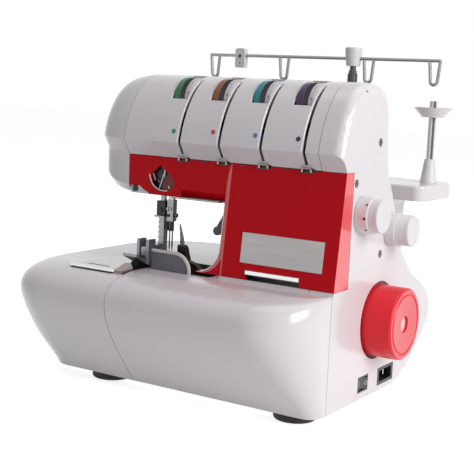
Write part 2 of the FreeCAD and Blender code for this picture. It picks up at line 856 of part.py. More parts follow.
def take_up_wires():
    """Block on the needle bar's top with two wires that hang behind the opening in the red front."""
    block = box(needle_x - 5.5, needle_x + 6, take_up_y - needle_radius, needle_y + 6,
                take_up_z, take_up_z + 6)
    block = block.cut(rod(V(needle_x, needle_y, 0), AZ, needle_bar_radius, head_top_z))
    low = beam_z + 4
    length = take_up_z + 1 - low
    wires = [rod(V(needle_x + dx, take_up_y, low), AZ, needle_radius, length) for dx in (-4.5, 3)]
    return block.fuse(wires)


def presser_holder():
    """Block on the presser bar with its clamping screw."""
    y0, y1 = needle_y - holder_half, needle_y + holder_half
    block = box(presser_x - holder_half, presser_x + holder_half, y0, y1, holder_low_z, holder_top_z)
    block = rounded(block, 0.5, lambda e: True)
    screw = rod(V(presser_x, y0 - holder_screw_proud, holder_low_z + 5), AY, holder_screw_radius,
                holder_screw_proud + 0.6)
    return block.fuse(screw).cut(rod(V(presser_x, needle_y, 0), AZ, presser_bar_radius, head_top_z))


def presser_bar():
    """Round bar with a ribbed shank below and the ankle that the foot rocks on."""
    left, right = presser_x - shank_half, presser_x + shank_half
    front, rear = needle_y - shank_half, needle_y + shank_half
    shank = box(left, right, front, rear, shank_low_z, holder_low_z)
    for i in range(rib_count):
        z = shank_low_z + 3 + i * rib_pitch
        shank = shank.cut(box(left - 1, left + 0.7, front - 1, rear + 1, z, z + 1.6))
    ankle = box(left, right, foot_pivot_y - ankle_nose, rear, ankle_z, shank_low_z)
    ankle = rounded(ankle, 1.5, along(AX))
    pin = rod(V(presser_x - foot_reach, foot_pivot_y, foot_pivot_z), AX, foot_pin_radius, 2 * foot_reach)
    low = holder_low_z - 1
    upper = rod(V(presser_x, needle_y, low), AZ, presser_bar_radius, bar_top_z + 3 - low)
    return shank.fuse([ankle, pin, upper]).removeSplitter()


def presser_foot():
    """Rocking sole with an upturned toe, two prongs on the ankle's pin and the gap that the needles pass."""
    left, right = presser_x - sole_left, needle_x + 6
    rear = needle_y + foot_heel
    front = rear - foot_length
    sole_top = sole_z + sole_thick
    gap_x = needle_x - 4
    sole = box(left, right, front + toe_length, rear, sole_z, sole_top)
    tip = sole_top + toe_rise
    toe = prism_x([(front + toe_length, sole_z), (front, tip - sole_thick), (front, tip),
                   (front + toe_length, sole_top)], left, gap_x)
    gap = box(gap_x, right + 1, front - 1, needle_y + 3.5, sole_z - 1, sole_top + 1)
    inner = shank_half + seam
    prongs = []
    for x0, x1 in ((presser_x - foot_reach, presser_x - inner), (presser_x + inner, presser_x + foot_reach)):
        prongs.append(box(x0, x1, foot_pivot_y - prong_half, foot_pivot_y + prong_half, sole_top - 0.5,
                          foot_pivot_z + prong_rise))
    foot = sole.cut(gap).fuse([toe] + prongs)
    return foot.cut(bore_x(foot_pivot_y, foot_pivot_z, foot_pin_radius + running)).removeSplitter()


def lifter_lever():
    """Slanted lever at the back of the arm with a round end that a finger pushes up."""
    y = arm_rear_y + clear
    end_x, end_z = lifter_x - lifter_reach, lifter_z - lifter_length
    length = math.hypot(lifter_reach, lifter_length)
    dx, dz = lifter_half * lifter_length / length, lifter_half * lifter_reach / length
    lever = prism_y([(end_x - dx, end_z + dz), (end_x + dx, end_z - dz), (lifter_x + dx, lifter_z - dz),
                     (lifter_x - dx, lifter_z + dz)], y, y + lifter_thick)
    boss = rod(V(lifter_x, y, lifter_z), AY, 8.0, lifter_thick)
    paddle = rod(V(end_x, y, end_z), AY, lifter_end_radius, 2 * lifter_thick)
    pin = rod(V(lifter_x, y - 12, lifter_z), AY, spindle_radius, 13)
    return lever.fuse([boss, paddle, pin]).removeSplitter()


def pivoted(points, x, z, y0, y1, boss_radius, boss_length, pin_length):
    """Flat arm with a boss and a pin behind it; its points are steps from the pivot."""
    arm = prism_y([(x + dx, z + dz) for dx, dz in points], y0, y1)
    boss = rod(V(x, y0, z), AY, boss_radius, boss_length)
    start = y0 + boss_length - 0.5
    pin = rod(V(x, start, z), AY, spindle_radius, pin_length)
    return arm.fuse([boss, pin]).removeSplitter()


def lower_looper():
    r, h = lower_looper_reach, lower_looper_rise
    points = [(-0.2 * r, 0), (0.2 * r, 0), (0.15 * r, 0.81 * h), (0.1 * r, 0.97 * h), (-r, h), (-r, 0.93 * h),
              (-0.2 * r, 0.81 * h)]
    return pivoted(points, lower_looper_x, lower_looper_z, needle_y - 14, needle_y - 10, 6.0, 4.0, 8.5)


def upper_looper():
    r, h = upper_looper_reach, upper_looper_rise
    points = [(-0.15 * r, 0), (0.15 * r, 0), (-0.65 * r, 0.52 * h), (-0.85 * r, 0.86 * h), (-r, h),
              (-0.96 * r, 0.83 * h), (-0.85 * r, 0.5 * h)]
    return pivoted(points, upper_looper_x, upper_looper_z, needle_y + 7, needle_y + 9, 6.0, 4.0, 8.0)


def knife_arm():
    """Bent arm that rises through the bed and carries the moving knife at its left end."""
    left = knife_x - knife_pivot_x
    points = [(-5, -3), (5, -3), (5, 4), (-16, 10), (-25, 17.5), (-33, 20), (-36, 31), (-38, 33),
              (left, 33), (left, 16), (-26, 15.5), (-10, 4)]
    return pivoted(points, knife_pivot_x, knife_pivot_z, needle_y - 8, needle_y - 2, 7.0, 10.0, 9.0)


def upper_knife():
    y, z = needle_y, table_z
    points = [(y - 14, z + 2), (y, z + 3.6), (y, z + 14), (y - 8, z + 14), (y - 14, z + 6)]
    return prism_x(points, knife_x - knife_thick, knife_x)


def lower_knife():
    right = knife_x - knife_thick - knife_gap
    return box(right - knife_thick, right, needle_y - 16, needle_y - 2, table_z - 15, plate_top_z + 0.2)


def feed_ribs():
    return (feed_x - feed_half, feed_x + feed_half - rib_width)


def feed_row(y0, y1):
    """Two toothed ribs on one bar; the teeth just clear the plate's top."""
    bar = box(feed_x - feed_half, feed_x + feed_half, y0, y1, table_z - 12, needle_plate_z - 2)
    outline = [(y0, needle_plate_z - 3)]
    for i in range(int((y1 - y0) / tooth_pitch)):
        y = y0 + tooth_pitch * i
        outline += [(y, plate_top_z - 0.6), (y + 0.7 * tooth_pitch, plate_top_z + 0.1)]
    outline += [(y1, plate_top_z - 0.6), (y1, needle_plate_z - 3)]
    return bar.fuse([prism_x(outline, x, x + rib_width) for x in feed_ribs()])


def feed_dogs():
    return group([feed_row(y0, y1) for y0, y1 in feed_rows])


def needle_plate():
    """Plate in the bed with the needle hole, the feed slots and the gaps of the looper and the knife."""
    plate = box(table_seam_x + 1, column_left_x - 4, cover_rear_y + 1, needle_y + 24,
                needle_plate_z, plate_top_z)
    cuts = [everywhere(needle_x - 4, needle_x + 4, needle_y - 3, needle_y + 3), lower_knife(),
            everywhere(upper_looper_x - 29, upper_looper_x - 4, needle_y + 5.5, needle_y + 10.5),
            everywhere(knife_pivot_x - 24, far, needle_y - 12, needle_y + 10)]
    for y0, y1 in feed_rows:
        for x in feed_ribs():
            cuts.append(everywhere(x - feed_room, x + rib_width + feed_room, y0 - feed_room,
                                   y1 + feed_stroke + feed_room))
    return plate.cut(cuts)


def cloth_plate():
    """Bright plate let into the left table, with a rounded top edge and a finger slot."""
    plate = box(cloth_plate_x, table_seam_x - 1, cloth_plate_y, table_rear_y - 1,
                table_z - cloth_plate_sink, plate_top_z)
    plate = rounded(plate, 1.2, lambda e: e.CenterOfMass.z > plate_top_z - 0.01)
    return plate.cut(box(cloth_plate_x + 9, cloth_plate_x + 33, cloth_plate_y + 11, cloth_plate_y + 14,
                         plate_top_z - 1.5, far))


def guard_outline(grow, y0, y1):
    """Quarter-round shape standing on the front cover, drawn in at the top and right."""
    x0, x1 = guard_left_x, guard_left_x + guard_width - grow
    top = table_z + guard_height - grow
    bend = guard_bend - grow
    middle = V(x1 - bend + bend * diagonal, y0, top - bend + bend * diagonal)
    a, b = V(x0, y0, table_z), V(x0, y0, top)
    c, d, e = V(x1 - bend, y0, top), V(x1, y0, top - bend), V(x1, y0, table_z)
    wire = Part.Wire([Part.makeLine(a, b), Part.makeLine(b, c), Part.Arc(c, middle, d).toShape(),
                      Part.makeLine(d, e), Part.makeLine(e, a)])
    return Part.Face(wire).extrude(V(0, y1 - y0, 0))


def cover_guard():
    return guard_outline(guard_rim_width, guard_y + guard_thick / 3, guard_y + guard_thick)


def guard_rim():
    rim = guard_outline(0.0, guard_y, guard_y + guard_thick)
    return rim.cut(guard_outline(guard_rim_width, guard_y - 1, guard_y + guard_thick + 1))


def name_plate():
    """Bare bright plate lying on the leaning red front."""
    low = table_z + badge_rise
    lean = math.atan2(red_top_y - red_bottom_y, red_height + wall)
    plate = box(0, badge_width, -badge_proud, 0, 0, badge_height)
    plate.rotate(V(0, 0, 0), AX, -math.degrees(lean))
    plate.translate(V(badge_left_x, red_face_y(low), low))
    return plate


def finger_trim():
    """Bright bar above the grip under the red front."""
    low = table_z + trim_rise - trim_height
    front = red_face_y(low) - trim_proud
    bar = box(trim_left_x, trim_right_x, front, red_face_y(low) + wall, low, table_z + trim_rise)
    return rounded(bar, 0.7, lambda e: e.CenterOfMass.y < front + 0.01)


def tension_dial(x):
    """Thumb wheel that shows in the head's window: plain band, ribbed grip and numbered band."""
    start = x - dial_side - dial_width
    third = dial_width / 3
    wheel = rod(V(start, dial_y, dial_z), AX, dial_radius, dial_width)
    grooves = []
    for i in range(dial_ridges):
        angle = 2 * math.pi * i / dial_ridges
        y = dial_y + (dial_radius + 0.4) * math.cos(angle)
        z = dial_z + (dial_radius + 0.4) * math.sin(angle)
        grooves.append(rod(V(start + third, y, z), AX, 1.0, third))
    return wheel.cut(grooves).cut(bore_x(dial_y, dial_z, dial_bore + running))


def tension_bracket():
    """Rail on the arm's beam with a post for each dial between two ears."""
    low = dial_z - dial_radius - 4
    front, rear = dial_y - 8, dial_y + 8
    left, right = -dial_width - 6, 9.0
    parts = []
    for x in slot_places:
        for x0 in (x + left, x + right):
            parts.append(box(x0, x0 + ear_thick, front, rear, low - 1, dial_z + 6))
        parts.append(rod(V(x + left - 1, dial_y, dial_z), AX, dial_bore, right - left + ear_thick + 1.5))
    rail = box(slot_places[0] + left - 2, slot_places[-1] + right + 4, front, rear, beam_top_z, low)
    return rail.fuse(parts).removeSplitter()


def tension_discs():
    """Pair of discs and the spring that presses them, on each post."""
    sets = []
    for x in slot_places:
        for dx in (clear, 2.2):
            sets.append(tube(V(x + dx, dial_y, dial_z), AX, disc_radius, dial_bore, disc_thick))
        sets.append(tube(V(x + 2.2 + disc_thick, dial_y, dial_z), AX, dial_bore + 2, dial_bore, 6.0))
    return group(sets)


def slot_guides():
    """Small hooked guides at the foot of each thread slot."""
    low = red_top_z + half
    front = red_top_y - 3.4
    hooks = []
    for x in slot_places:
        plate = box(x - 5, x + slot_width + 4.8, front, front + 8.2, low, low + 1.0)
        hooks.append(plate.fuse(rod(V(x - 4, front, low + 0.8), AX, 0.8, slot_width + 7.8)))
    return group(hooks)


def gusset(x, side):
    """Concave fillet between the pillar's side and the tray's underside."""
    corner = V(x, tray_front_y, tray_under_z)
    out = corner + V(side * gusset_radius, 0, 0)
    down = corner - V(0, 0, gusset_radius)
    reach = gusset_radius * (1 - diagonal)
    middle = corner + V(side * reach, 0, -reach)
    wire = Part.Wire([Part.makeLine(corner, out), Part.Arc(out, middle, down).toShape(),
                      Part.makeLine(down, corner)])
    return Part.Face(wire).extrude(V(0, pillar_depth, 0))


def spool_stand(outer):
    """Tray for the thread cones with the pillar that carries it and the socket of the mast."""
    tray = box(tray_left_x, tray_right_x, tray_front_y, rear_y, tray_under_z, tray_top_z)
    tray = rounded(tray, tray_round, along(AZ))
    tray = rounded(tray, wall, lambda e: e.CenterOfMass.z > tray_top_z - 0.01)
    spans = ((tray_left_x + wall, pillar_left_x - gusset_radius - wall),
             (pillar_right_x + gusset_radius + wall, tray_right_x - wall))
    for x0, x1 in spans:
        pocket = box(x0, x1, tray_front_y + wall, rear_y - wall, tray_under_z - 1, tray_top_z - wall)
        tray = tray.cut(rounded(pocket, tray_round - wall, along(AZ)))
    pillar_rear = tray_front_y + pillar_depth
    pillar = box(pillar_left_x, pillar_right_x, tray_front_y, pillar_rear, foot_height, tray_under_z)
    socket = mast_y + mast_outer_radius + socket_wall
    pillar = pillar.cut(box(pillar_left_x + wall, pillar_right_x - wall, socket, pillar_rear - wall,
                            0, tray_under_z))
    stand = tray.fuse([pillar, gusset(pillar_left_x, -1), gusset(pillar_right_x, 1)]).cut(outer)
    bosses = [rod(V(x, pin_y, tray_under_z), AZ, pin_boss_radius, tray_thick - 1) for x in pin_places]
    stand = stand.fuse(bosses)
    stand = max(stand.Solids, key=lambda solid: solid.Volume)
    return stand.cut(rod(V(mast_x, mast_y, mast_low_z), AZ, mast_outer_radius, far)).removeSplitter()


def spool_pins():
    pins = []
    for x in pin_places:
        foot = V(x, pin_y, tray_top_z)
        skirt = Part.makeCone(pin_skirt_radius, 0.6 * pin_skirt_radius, pin_skirt_height, foot, AZ)
        pins.append(skirt.fuse(rod(foot, AZ, pin_radius, pin_height)).removeSplitter())
    return group(pins)


def spool_discs():
    """Bowl-shaped cone holders near the top of each pin."""
    discs = []
    for x in pin_places:
        foot = V(x, pin_y, tray_top_z + spool_disc_rise)
        bowl = Part.makeCone(0.55 * spool_disc_radius, spool_disc_radius, spool_disc_height, foot, AZ)
        dish = Part.makeCone(0.5 * spool_disc_radius, spool_disc_radius - spool_disc_wall, spool_disc_height,
                             foot + AZ * 2, AZ)
        bowl = bowl.cut(dish).fuse(rod(foot, AZ, pin_radius + 2, spool_disc_height))
        discs.append(bowl.cut(rod(foot - AZ, AZ, pin_radius, spool_disc_height + 2)))
    return group(discs)


def mast_outer_tube():
    inner = mast_middle_radius + running
    return tube(V(mast_x, mast_y, mast_low_z), AZ, mast_outer_radius, inner, mast_outer_top - mast_low_z)


def mast_middle_tube():
    low = mast_low_z + 2
    inner = mast_rod_radius + running
    return tube(V(mast_x, mast_y, low), AZ, mast_middle_radius, inner, mast_outer_top + 3 - low)


def mast_rod():
    low = mast_low_z + 4
    return rod(V(mast_x, mast_y, low), AZ, mast_rod_radius, collar_z - low)


def mast_collar():
    collar = rod(V(mast_x, mast_y, collar_z), AZ, collar_radius, collar_height)
    collar = rounded(collar, 2.0, lambda e: e.Closed and e.CenterOfMass.z > collar_z + 1)
    return collar.cut(bore_x(mast_y, wire_z, wire_radius))


def thread_guide_wire():
    """Cross wire with a hanging eye for each thread."""
    bar = rod(V(wire_left_x, mast_y, wire_z), AX, wire_radius, wire_right_x - wire_left_x)
    low = wire_z - eye_drop
    parts = [Part.makeSphere(wire_radius, V(x, mast_y, wire_z)) for x in (wire_left_x, wire_right_x)]
    for x in eye_places:
        for side in (-1, 1):
            top = V(x + side * eye_half, mast_y, wire_z)
            foot = V(x + side * eye_radius, mast_y, low)
            parts.append(rod(foot, top - foot, wire_radius, (top - foot).Length))
            parts.append(Part.makeSphere(wire_radius, foot))
        ring = Part.makeTorus(eye_radius, wire_radius, V(x, mast_y, low), AY)
        parts.append(ring.common(everywhere(z1=low)))
    return bar.fuse(parts).removeSplitter()


def wire_tab():
    """Small clip on the cross wire with a thread hole."""
    low = wire_z - 12
    tab = box(tab_x, tab_x + tab_width, mast_y - 3, mast_y + 3, low, low + tab_height)
    tab = rounded(tab, 2.5, along(AY)).cut(bore_x(mast_y, wire_z, wire_radius))
    return tab.cut(rod(V(tab_x + tab_width / 2, mast_y - 9, low + 4.5), AY, 1.2, 20))


def turn_dial(y, z, radius, base):
    """Round setting knob with a collar and a spindle through the side cover."""
    start = right_x + clear
    flange = rod(V(start, y, z), AX, radius, base)
    knob = rod(V(start, y, z), AX, radius - 2.2, dial_reach - clear)
    knob = rounded(knob, 1.5, lambda e: e.Closed and e.CenterOfMass.x > start + 1)
    spindle = rod(V(start + 1 - spindle_length, y, z), AX, spindle_radius, spindle_length)
    return flange.fuse([knob, spindle]).removeSplitter()


def stitch_length_dial():
    return turn_dial(length_dial_y, length_dial_z, length_dial_radius, length_dial_base)


def differential_dial():
    return turn_dial(differential_y, differential_z, differential_radius, differential_base)


def power_inlet():
    """Inlet body with its recess and two blades."""
    y, z = inlet_y, inlet_z
    w, h = inlet_width / 2, inlet_height / 2
    floor_x = right_x - inlet_depth + 4
    body = box(right_x - inlet_depth, right_x, y - w, y + w, z - h, z + h)
    well = box(floor_x, right_x + 1, y - w + 4, y + w - 4, z - h + 3, z + h - 3)
    blades = [box(floor_x - 1, right_x - 4, y + dy - 0.8, y + dy + 0.8, z - 2.5, z + 2.5) for dy in (-5, 5)]
    return body.cut(well).fuse(blades)


def switch_housing():
    y, z = switch_y, switch_z
    w, h = switch_width / 2, switch_height / 2
    edge = 1.6
    body = box(right_x - switch_depth, right_x, y - w, y + w, z - h, z + h)
    well = box(right_x - switch_depth + 4, right_x + 1, y - w + edge, y + w - edge,
               z - h + edge, z + h - edge)
    pin = rod(V(rocker_pivot_x, y, z - h + 0.5), AZ, rocker_pin_radius, switch_height - 1)
    return body.cut(well).fuse(pin)


def switch_rocker():
    """Rocker with a hollowed face, tilted to one side on the housing's pin."""
    y, z = switch_y, switch_z
    w, h = switch_width / 2 - rocker_room, switch_height / 2 - 2.2
    points = [(right_x - 8, y - w + 2), (right_x + 0.4, y - w), (right_x - 1.6, y), (right_x + 0.4, y + w),
              (right_x - 8, y + w - 2)]
    body = prism([V(px, py, z - h) for px, py in points], V(0, 0, 2 * h))
    body.rotate(V(rocker_pivot_x, y, z), AZ, -rocker_tilt)
    return body.cut(rod(V(rocker_pivot_x, y, z - h - 1), AZ, rocker_pin_radius + running, 2 * h + 2))


def cover_screws():
    screws = []
    for y, rise in screw_places:
        z = red_top_z + rise
        head_x = right_x - screw_sink
        head = rod(V(head_x, y, z), AX, screw_head_radius - 0.2, screw_sink - 0.2)
        shank = rod(V(right_x - screw_length, y, z), AX, screw_radius, screw_length - screw_sink + 0.1)
        slot = box(head_x + 0.3, right_x, y - 2.4, y + 2.4, z - 0.4, z + 0.4)
        screws.append(head.fuse(shank).cut(slot))
    return group(screws)


def main():
    os.makedirs("parts", exist_ok=True)
    outer, shell = casing()
    for cover in (front_cover, left_table, red_front_panel, head_cover, right_side_cover, rear_cover):
        save(cover.__name__, cover(shell))
    save("spool_stand", spool_stand(outer))
    for i, x in enumerate(slot_places):
        save("tension_dial_" + str(i + 1), tension_dial(x))
    pieces = [left_face_cover, base_plate, hinge_rod, rubber_feet, machine_frame, shaft_bushes,
              main_shaft, handwheel, shaft_pulley, motor_pulley, drive_belt, motor, needle_bar,
              needle_clamp, needles, take_up_wires, presser_bar, presser_holder, presser_foot,
              lifter_lever, lower_looper, upper_looper, knife_arm, upper_knife, lower_knife, feed_dogs,
              needle_plate, cloth_plate, cover_guard, guard_rim, name_plate, finger_trim,
              tension_bracket, tension_discs, slot_guides, spool_pins, spool_discs, mast_outer_tube,
              mast_middle_tube, mast_rod, mast_collar, thread_guide_wire, wire_tab, stitch_length_dial,
              differential_dial, power_inlet, switch_housing, switch_rocker, cover_screws]
    for piece in pieces:
        save(piece.__name__, piece())


if __name__ == "__main__":
    main()
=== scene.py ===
# %% [markdown]
# # An overlock machine, dressed for its portrait
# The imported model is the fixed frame: every solid already sits where the real piece sits, in metres. This lesson
# puts the photograph's camera in front of it, lights it like a catalogue picture, and then gives each piece the
# finish and the small shapes that a plain solid lacks.

# %% Load the frame
import bmesh
import bpy
import math
from mathutils import Matrix, Vector


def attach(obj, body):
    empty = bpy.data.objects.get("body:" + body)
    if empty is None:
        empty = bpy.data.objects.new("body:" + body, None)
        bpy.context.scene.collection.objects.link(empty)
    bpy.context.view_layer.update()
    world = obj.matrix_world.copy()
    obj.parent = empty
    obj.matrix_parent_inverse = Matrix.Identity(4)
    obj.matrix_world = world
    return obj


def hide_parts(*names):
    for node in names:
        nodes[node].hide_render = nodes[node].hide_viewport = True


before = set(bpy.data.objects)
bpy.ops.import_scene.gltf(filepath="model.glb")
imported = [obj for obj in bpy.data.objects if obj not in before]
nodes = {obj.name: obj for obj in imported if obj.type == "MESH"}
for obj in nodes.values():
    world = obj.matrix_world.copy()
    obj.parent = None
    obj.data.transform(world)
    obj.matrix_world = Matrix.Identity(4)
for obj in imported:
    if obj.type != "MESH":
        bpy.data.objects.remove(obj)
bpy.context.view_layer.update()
scene = bpy.context.scene
mm = 0.001

# %% [markdown]
# The camera stands to the right of the front and a little above the table, with a long lens and a slight roll.
# Its place was worked out from straight edges that the photograph and the model share, so it is written as numbers
# here and turned into a rotation by hand: right, up and back are the three columns of the camera's matrix.

# %% Camera at the photograph's place
camera_place = Vector((0.50869, -0.82247, 0.26929))
azimuth, elevation, roll = (math.radians(a) for a in (32.0, 8.15242582, 2.54623402))
level = math.cos(elevation)
back = Vector((math.sin(azimuth) * level, -math.cos(azimuth) * level, math.sin(elevation)))
right = (-back).cross(Vector((0, 0, 1))).normalized()
up = right.cross(-back)
tilted_right = math.cos(roll) * right + math.sin(roll) * up
tilted_up = -math.sin(roll) * right + math.cos(roll) * up
bpy.ops.object.select_all(action="DESELECT")
bpy.ops.object.camera_add(location=camera_place)
camera = bpy.context.object
turn = Matrix((tilted_right, tilted_up, back)).transposed()
camera.matrix_world = Matrix.Translation(camera_place) @ turn.to_4x4()
camera.data.sensor_width = 36.0
camera.data.lens = 80.777
camera.data.clip_end = 20.0
scene.camera = camera
print("camera at", [round(c, 3) for c in camera.location], "lens", camera.data.lens)

# %% [markdown]
# The picture was taken on white, with a large soft lamp from the handwheel side and a weaker one over the front, so
# the right side is nearly white and the fronts fall to a cool grey. Three area lamps do this. The world gives a
# little even light, and only rays that the camera, a reflection or a glass sends out see it as plain white.

# %% Floor, world and lamps
bpy.ops.object.select_all(action="DESELECT")
bpy.ops.mesh.primitive_plane_add(size=12.0, location=(0, 0, 0))
floor = bpy.context.object
floor.name = "studio_floor"


def wire(tree, a, b):
    tree.links.new(a, b)


def seen_directly(tree):
    """1 for rays that show the background as it is: camera, glossy and transmission rays."""
    path = tree.nodes.new("ShaderNodeLightPath")
    first = tree.nodes.new("ShaderNodeMath")
    first.operation = "MAXIMUM"
    wire(tree, path.outputs["Is Camera Ray"], first.inputs[0])
    wire(tree, path.outputs["Is Glossy Ray"], first.inputs[1])
    second = tree.nodes.new("ShaderNodeMath")
    second.operation = "MAXIMUM"
    wire(tree, first.outputs[0], second.inputs[0])
    wire(tree, path.outputs["Is Transmission Ray"], second.inputs[1])
    return second.outputs[0]


studio = bpy.data.worlds.new("studio")
scene.world = studio
studio.use_nodes = True
tree = studio.node_tree
tree.nodes.clear()
sky = tree.nodes.new("ShaderNodeBackground")
sky.inputs["Color"].default_value = (0.93, 0.95, 1.0, 1)
sky.inputs["Strength"].default_value = 0.22
white = tree.nodes.new("ShaderNodeBackground")
white.inputs["Color"].default_value = (1, 1, 1, 1)
white.inputs["Strength"].default_value = 1.0
choose = tree.nodes.new("ShaderNodeMixShader")
wire(tree, seen_directly(tree), choose.inputs[0])
wire(tree, sky.outputs[0], choose.inputs[1])
wire(tree, white.outputs[0], choose.inputs[2])
out = tree.nodes.new("ShaderNodeOutputWorld")
wire(tree, choose.outputs[0], out.inputs["Surface"])

floor_paint = bpy.data.materials.new("floor_paint")
floor_paint.use_nodes = True
tree = floor_paint.node_tree
tree.nodes.clear()
chalk = tree.nodes.new("ShaderNodeBsdfDiffuse")
chalk.inputs["Color"].default_value = (0.86, 0.86, 0.86, 1)
lift = tree.nodes.new("ShaderNodeEmission")
lift.inputs["Strength"].default_value = 0.80
both = tree.nodes.new("ShaderNodeAddShader")
wire(tree, chalk.outputs[0], both.inputs[0])
wire(tree, lift.outputs[0], both.inputs[1])
choose = tree.nodes.new("ShaderNodeMixShader")
wire(tree, seen_directly(tree), choose.inputs[0])
wire(tree, chalk.outputs[0], choose.inputs[1])
wire(tree, both.outputs[0], choose.inputs[2])
out = tree.nodes.new("ShaderNodeOutputMaterial")
wire(tree, choose.outputs[0], out.inputs["Surface"])
floor.data.materials.append(floor_paint)


def soft_lamp(name, place, aim, size, watts, colour=(1, 1, 1)):
    bpy.ops.object.light_add(type="AREA", location=place)
    lamp = bpy.context.object
    lamp.name = name
    lamp.data.shape = "RECTANGLE"
    lamp.data.size, lamp.data.size_y = size
    lamp.data.energy = watts
    lamp.data.color = colour
    lamp.rotation_euler = (Vector(aim) - Vector(place)).to_track_quat("-Z", "Y").to_euler()
    return lamp


soft_lamp("side_lamp", (1.5, -0.30, 0.8), (0.1, 0, 0.15), (0.8, 1.0), 16.5)
soft_lamp("front_lamp", (-0.2, -1.7, 1.1), (0, -0.05, 0.12), (1.4, 0.8), 0.6)
soft_lamp("top_lamp", (0.1, 0.2, 1.7), (0, 0, 0.1), (1.4, 1.4), 7)
scene.view_settings.view_transform = "Standard"

# %% [markdown]
# Moulded plastic is never one flat colour: the tone drifts a little over a large panel, the gloss is broken by a
# faint texture, and edges are rounded by the mould. One recipe makes all the plastics here. It mixes two close tones
# with a soft noise, breaks the roughness with a finer noise and lays a tiny bump over it, all on Object coordinates,
# so the pattern stays in place when the piece moves.

# %% Finishes for plastics


def new_finish(name):
    finish = bpy.data.materials.new(name)
    finish.use_nodes = True
    shader = finish.node_tree.nodes["Principled BSDF"]
    place = finish.node_tree.nodes.new("ShaderNodeTexCoord")
    return finish, finish.node_tree, shader, place


def noise_on(tree, place, scale, detail=3.0, stretch=None):
    grain = tree.nodes.new("ShaderNodeTexNoise")
    grain.inputs["Scale"].default_value = scale
    grain.inputs["Detail"].default_value = detail
    if stretch:
        pull = tree.nodes.new("ShaderNodeMapping")
        pull.inputs["Scale"].default_value = stretch
        wire(tree, place.outputs["Object"], pull.inputs["Vector"])
        wire(tree, pull.outputs["Vector"], grain.inputs["Vector"])
    else:
        wire(tree, place.outputs["Object"], grain.inputs["Vector"])
    return grain


def two_tones(tree, grain, dark, light, low=0.35, high=0.65):
    ramp = tree.nodes.new("ShaderNodeValToRGB")
    ramp.color_ramp.elements[0].position = low
    ramp.color_ramp.elements[0].color = (*dark, 1)
    ramp.color_ramp.elements[1].position = high
    ramp.color_ramp.elements[1].color = (*light, 1)
    wire(tree, grain.outputs["Fac"], ramp.inputs["Fac"])
    return ramp.outputs["Color"]


def spread(tree, value, low, high):
    span = tree.nodes.new("ShaderNodeMapRange")
    span.inputs["To Min"].default_value = low
    span.inputs["To Max"].default_value = high
    wire(tree, value, span.inputs["Value"])
    return span.outputs["Result"]


def bump_from(tree, shader, grain, strength, depth):
    bump = tree.nodes.new("ShaderNodeBump")
    bump.inputs["Strength"].default_value = strength
    bump.inputs["Distance"].default_value = depth
    wire(tree, grain.outputs["Fac"], bump.inputs["Height"])
    wire(tree, bump.outputs["Normal"], shader.inputs["Normal"])


def plastic(name, colour, roughness=0.28, drift=0.06, grain_scale=900.0, coat=0.0, bump=0.06, shine=0.5):
    finish, tree, shader, place = new_finish(name)
    dark = tuple(c * (1 - drift) for c in colour)
    wire(tree, two_tones(tree, noise_on(tree, place, 9.0), dark, colour), shader.inputs["Base Color"])
    fine = noise_on(tree, place, grain_scale)
    wire(tree, spread(tree, fine.outputs["Fac"], roughness * 0.8, roughness * 1.25), shader.inputs["Roughness"])
    bump_from(tree, shader, fine, bump, 0.0002)
    shader.inputs["IOR"].default_value = 1.5
    shader.inputs["Specular IOR Level"].default_value = shine
    shader.inputs["Coat Weight"].default_value = coat
    shader.inputs["Coat Roughness"].default_value = 0.08
    return finish


white_shell = plastic("white_shell", (0.80, 0.755, 0.775), 0.22, 0.03, coat=0.3)
white_knob = plastic("white_knob", (0.80, 0.77, 0.785), 0.3, 0.03)
red_shell = plastic("red_shell", (0.66, 0.002, 0.009), 0.25, 0.08, shine=0.12)
red_wheel = plastic("red_wheel", (0.86, 0.02, 0.035), 0.3, 0.06, shine=0.3)
# A lighter red used as painted highlight, for the glancing edges of the red front and its side turned to the lamp.
red_painted_highlight = plastic("red_painted_highlight", (0.90, 0.085, 0.095), 0.2, 0.06, coat=0.6)
# A lighter red that is painted light, for the handwheel face that the side lamp falls on.
wheel_face_painted_light = plastic("wheel_face_painted_light", (0.84, 0.10, 0.11), 0.3, 0.06)
black_moulding = plastic("black_moulding", (0.012, 0.012, 0.013), 0.35, 0.2, bump=0.15)
# A flat black used as painted shadow, for the shade under the presser foot.
painted_shadow_black = plastic("painted_shadow_black", (0.008, 0.007, 0.009), 0.85, 0.1, shine=0.04)
grey_guard = plastic("grey_guard", (0.16, 0.145, 0.18), 0.4, 0.1, bump=0.12)
rim_white = plastic("rim_white", (0.74, 0.68, 0.71), 0.3, 0.04)
grey_rocker = plastic("grey_rocker", (0.06, 0.06, 0.065), 0.4, 0.2)
grey_lever = plastic("grey_lever", (0.22, 0.22, 0.23), 0.35, 0.1)
soft_rubber = plastic("soft_rubber", (0.05, 0.048, 0.05), 0.7, 0.25, 350.0, bump=0.4)
print("plastics:", len(bpy.data.materials))

# %% [markdown]
# Metals get their look from how they were worked. Drawn bars and ground plates have fine parallel scratches, so
# their noise is stretched along one axis; castings are grainy all over; chrome is smooth with a slight haze. The
# metal's colour goes on the base colour with Metallic at 1, and the scratches only touch roughness and bump.

# %% Finishes for metals


def metal(name, colour, roughness, stretch=None, scale=220.0, drift=0.12, bump=0.08):
    finish, tree, shader, place = new_finish(name)
    shader.inputs["Metallic"].default_value = 1.0
    grain = noise_on(tree, place, scale, 5.0, stretch)
    dark = tuple(c * (1 - drift) for c in colour)
    wire(tree, two_tones(tree, grain, dark, colour), shader.inputs["Base Color"])
    wire(tree, spread(tree, grain.outputs["Fac"], roughness * 0.7, roughness * 1.4), shader.inputs["Roughness"])
    bump_from(tree, shader, grain, bump, 0.0002)
    return finish


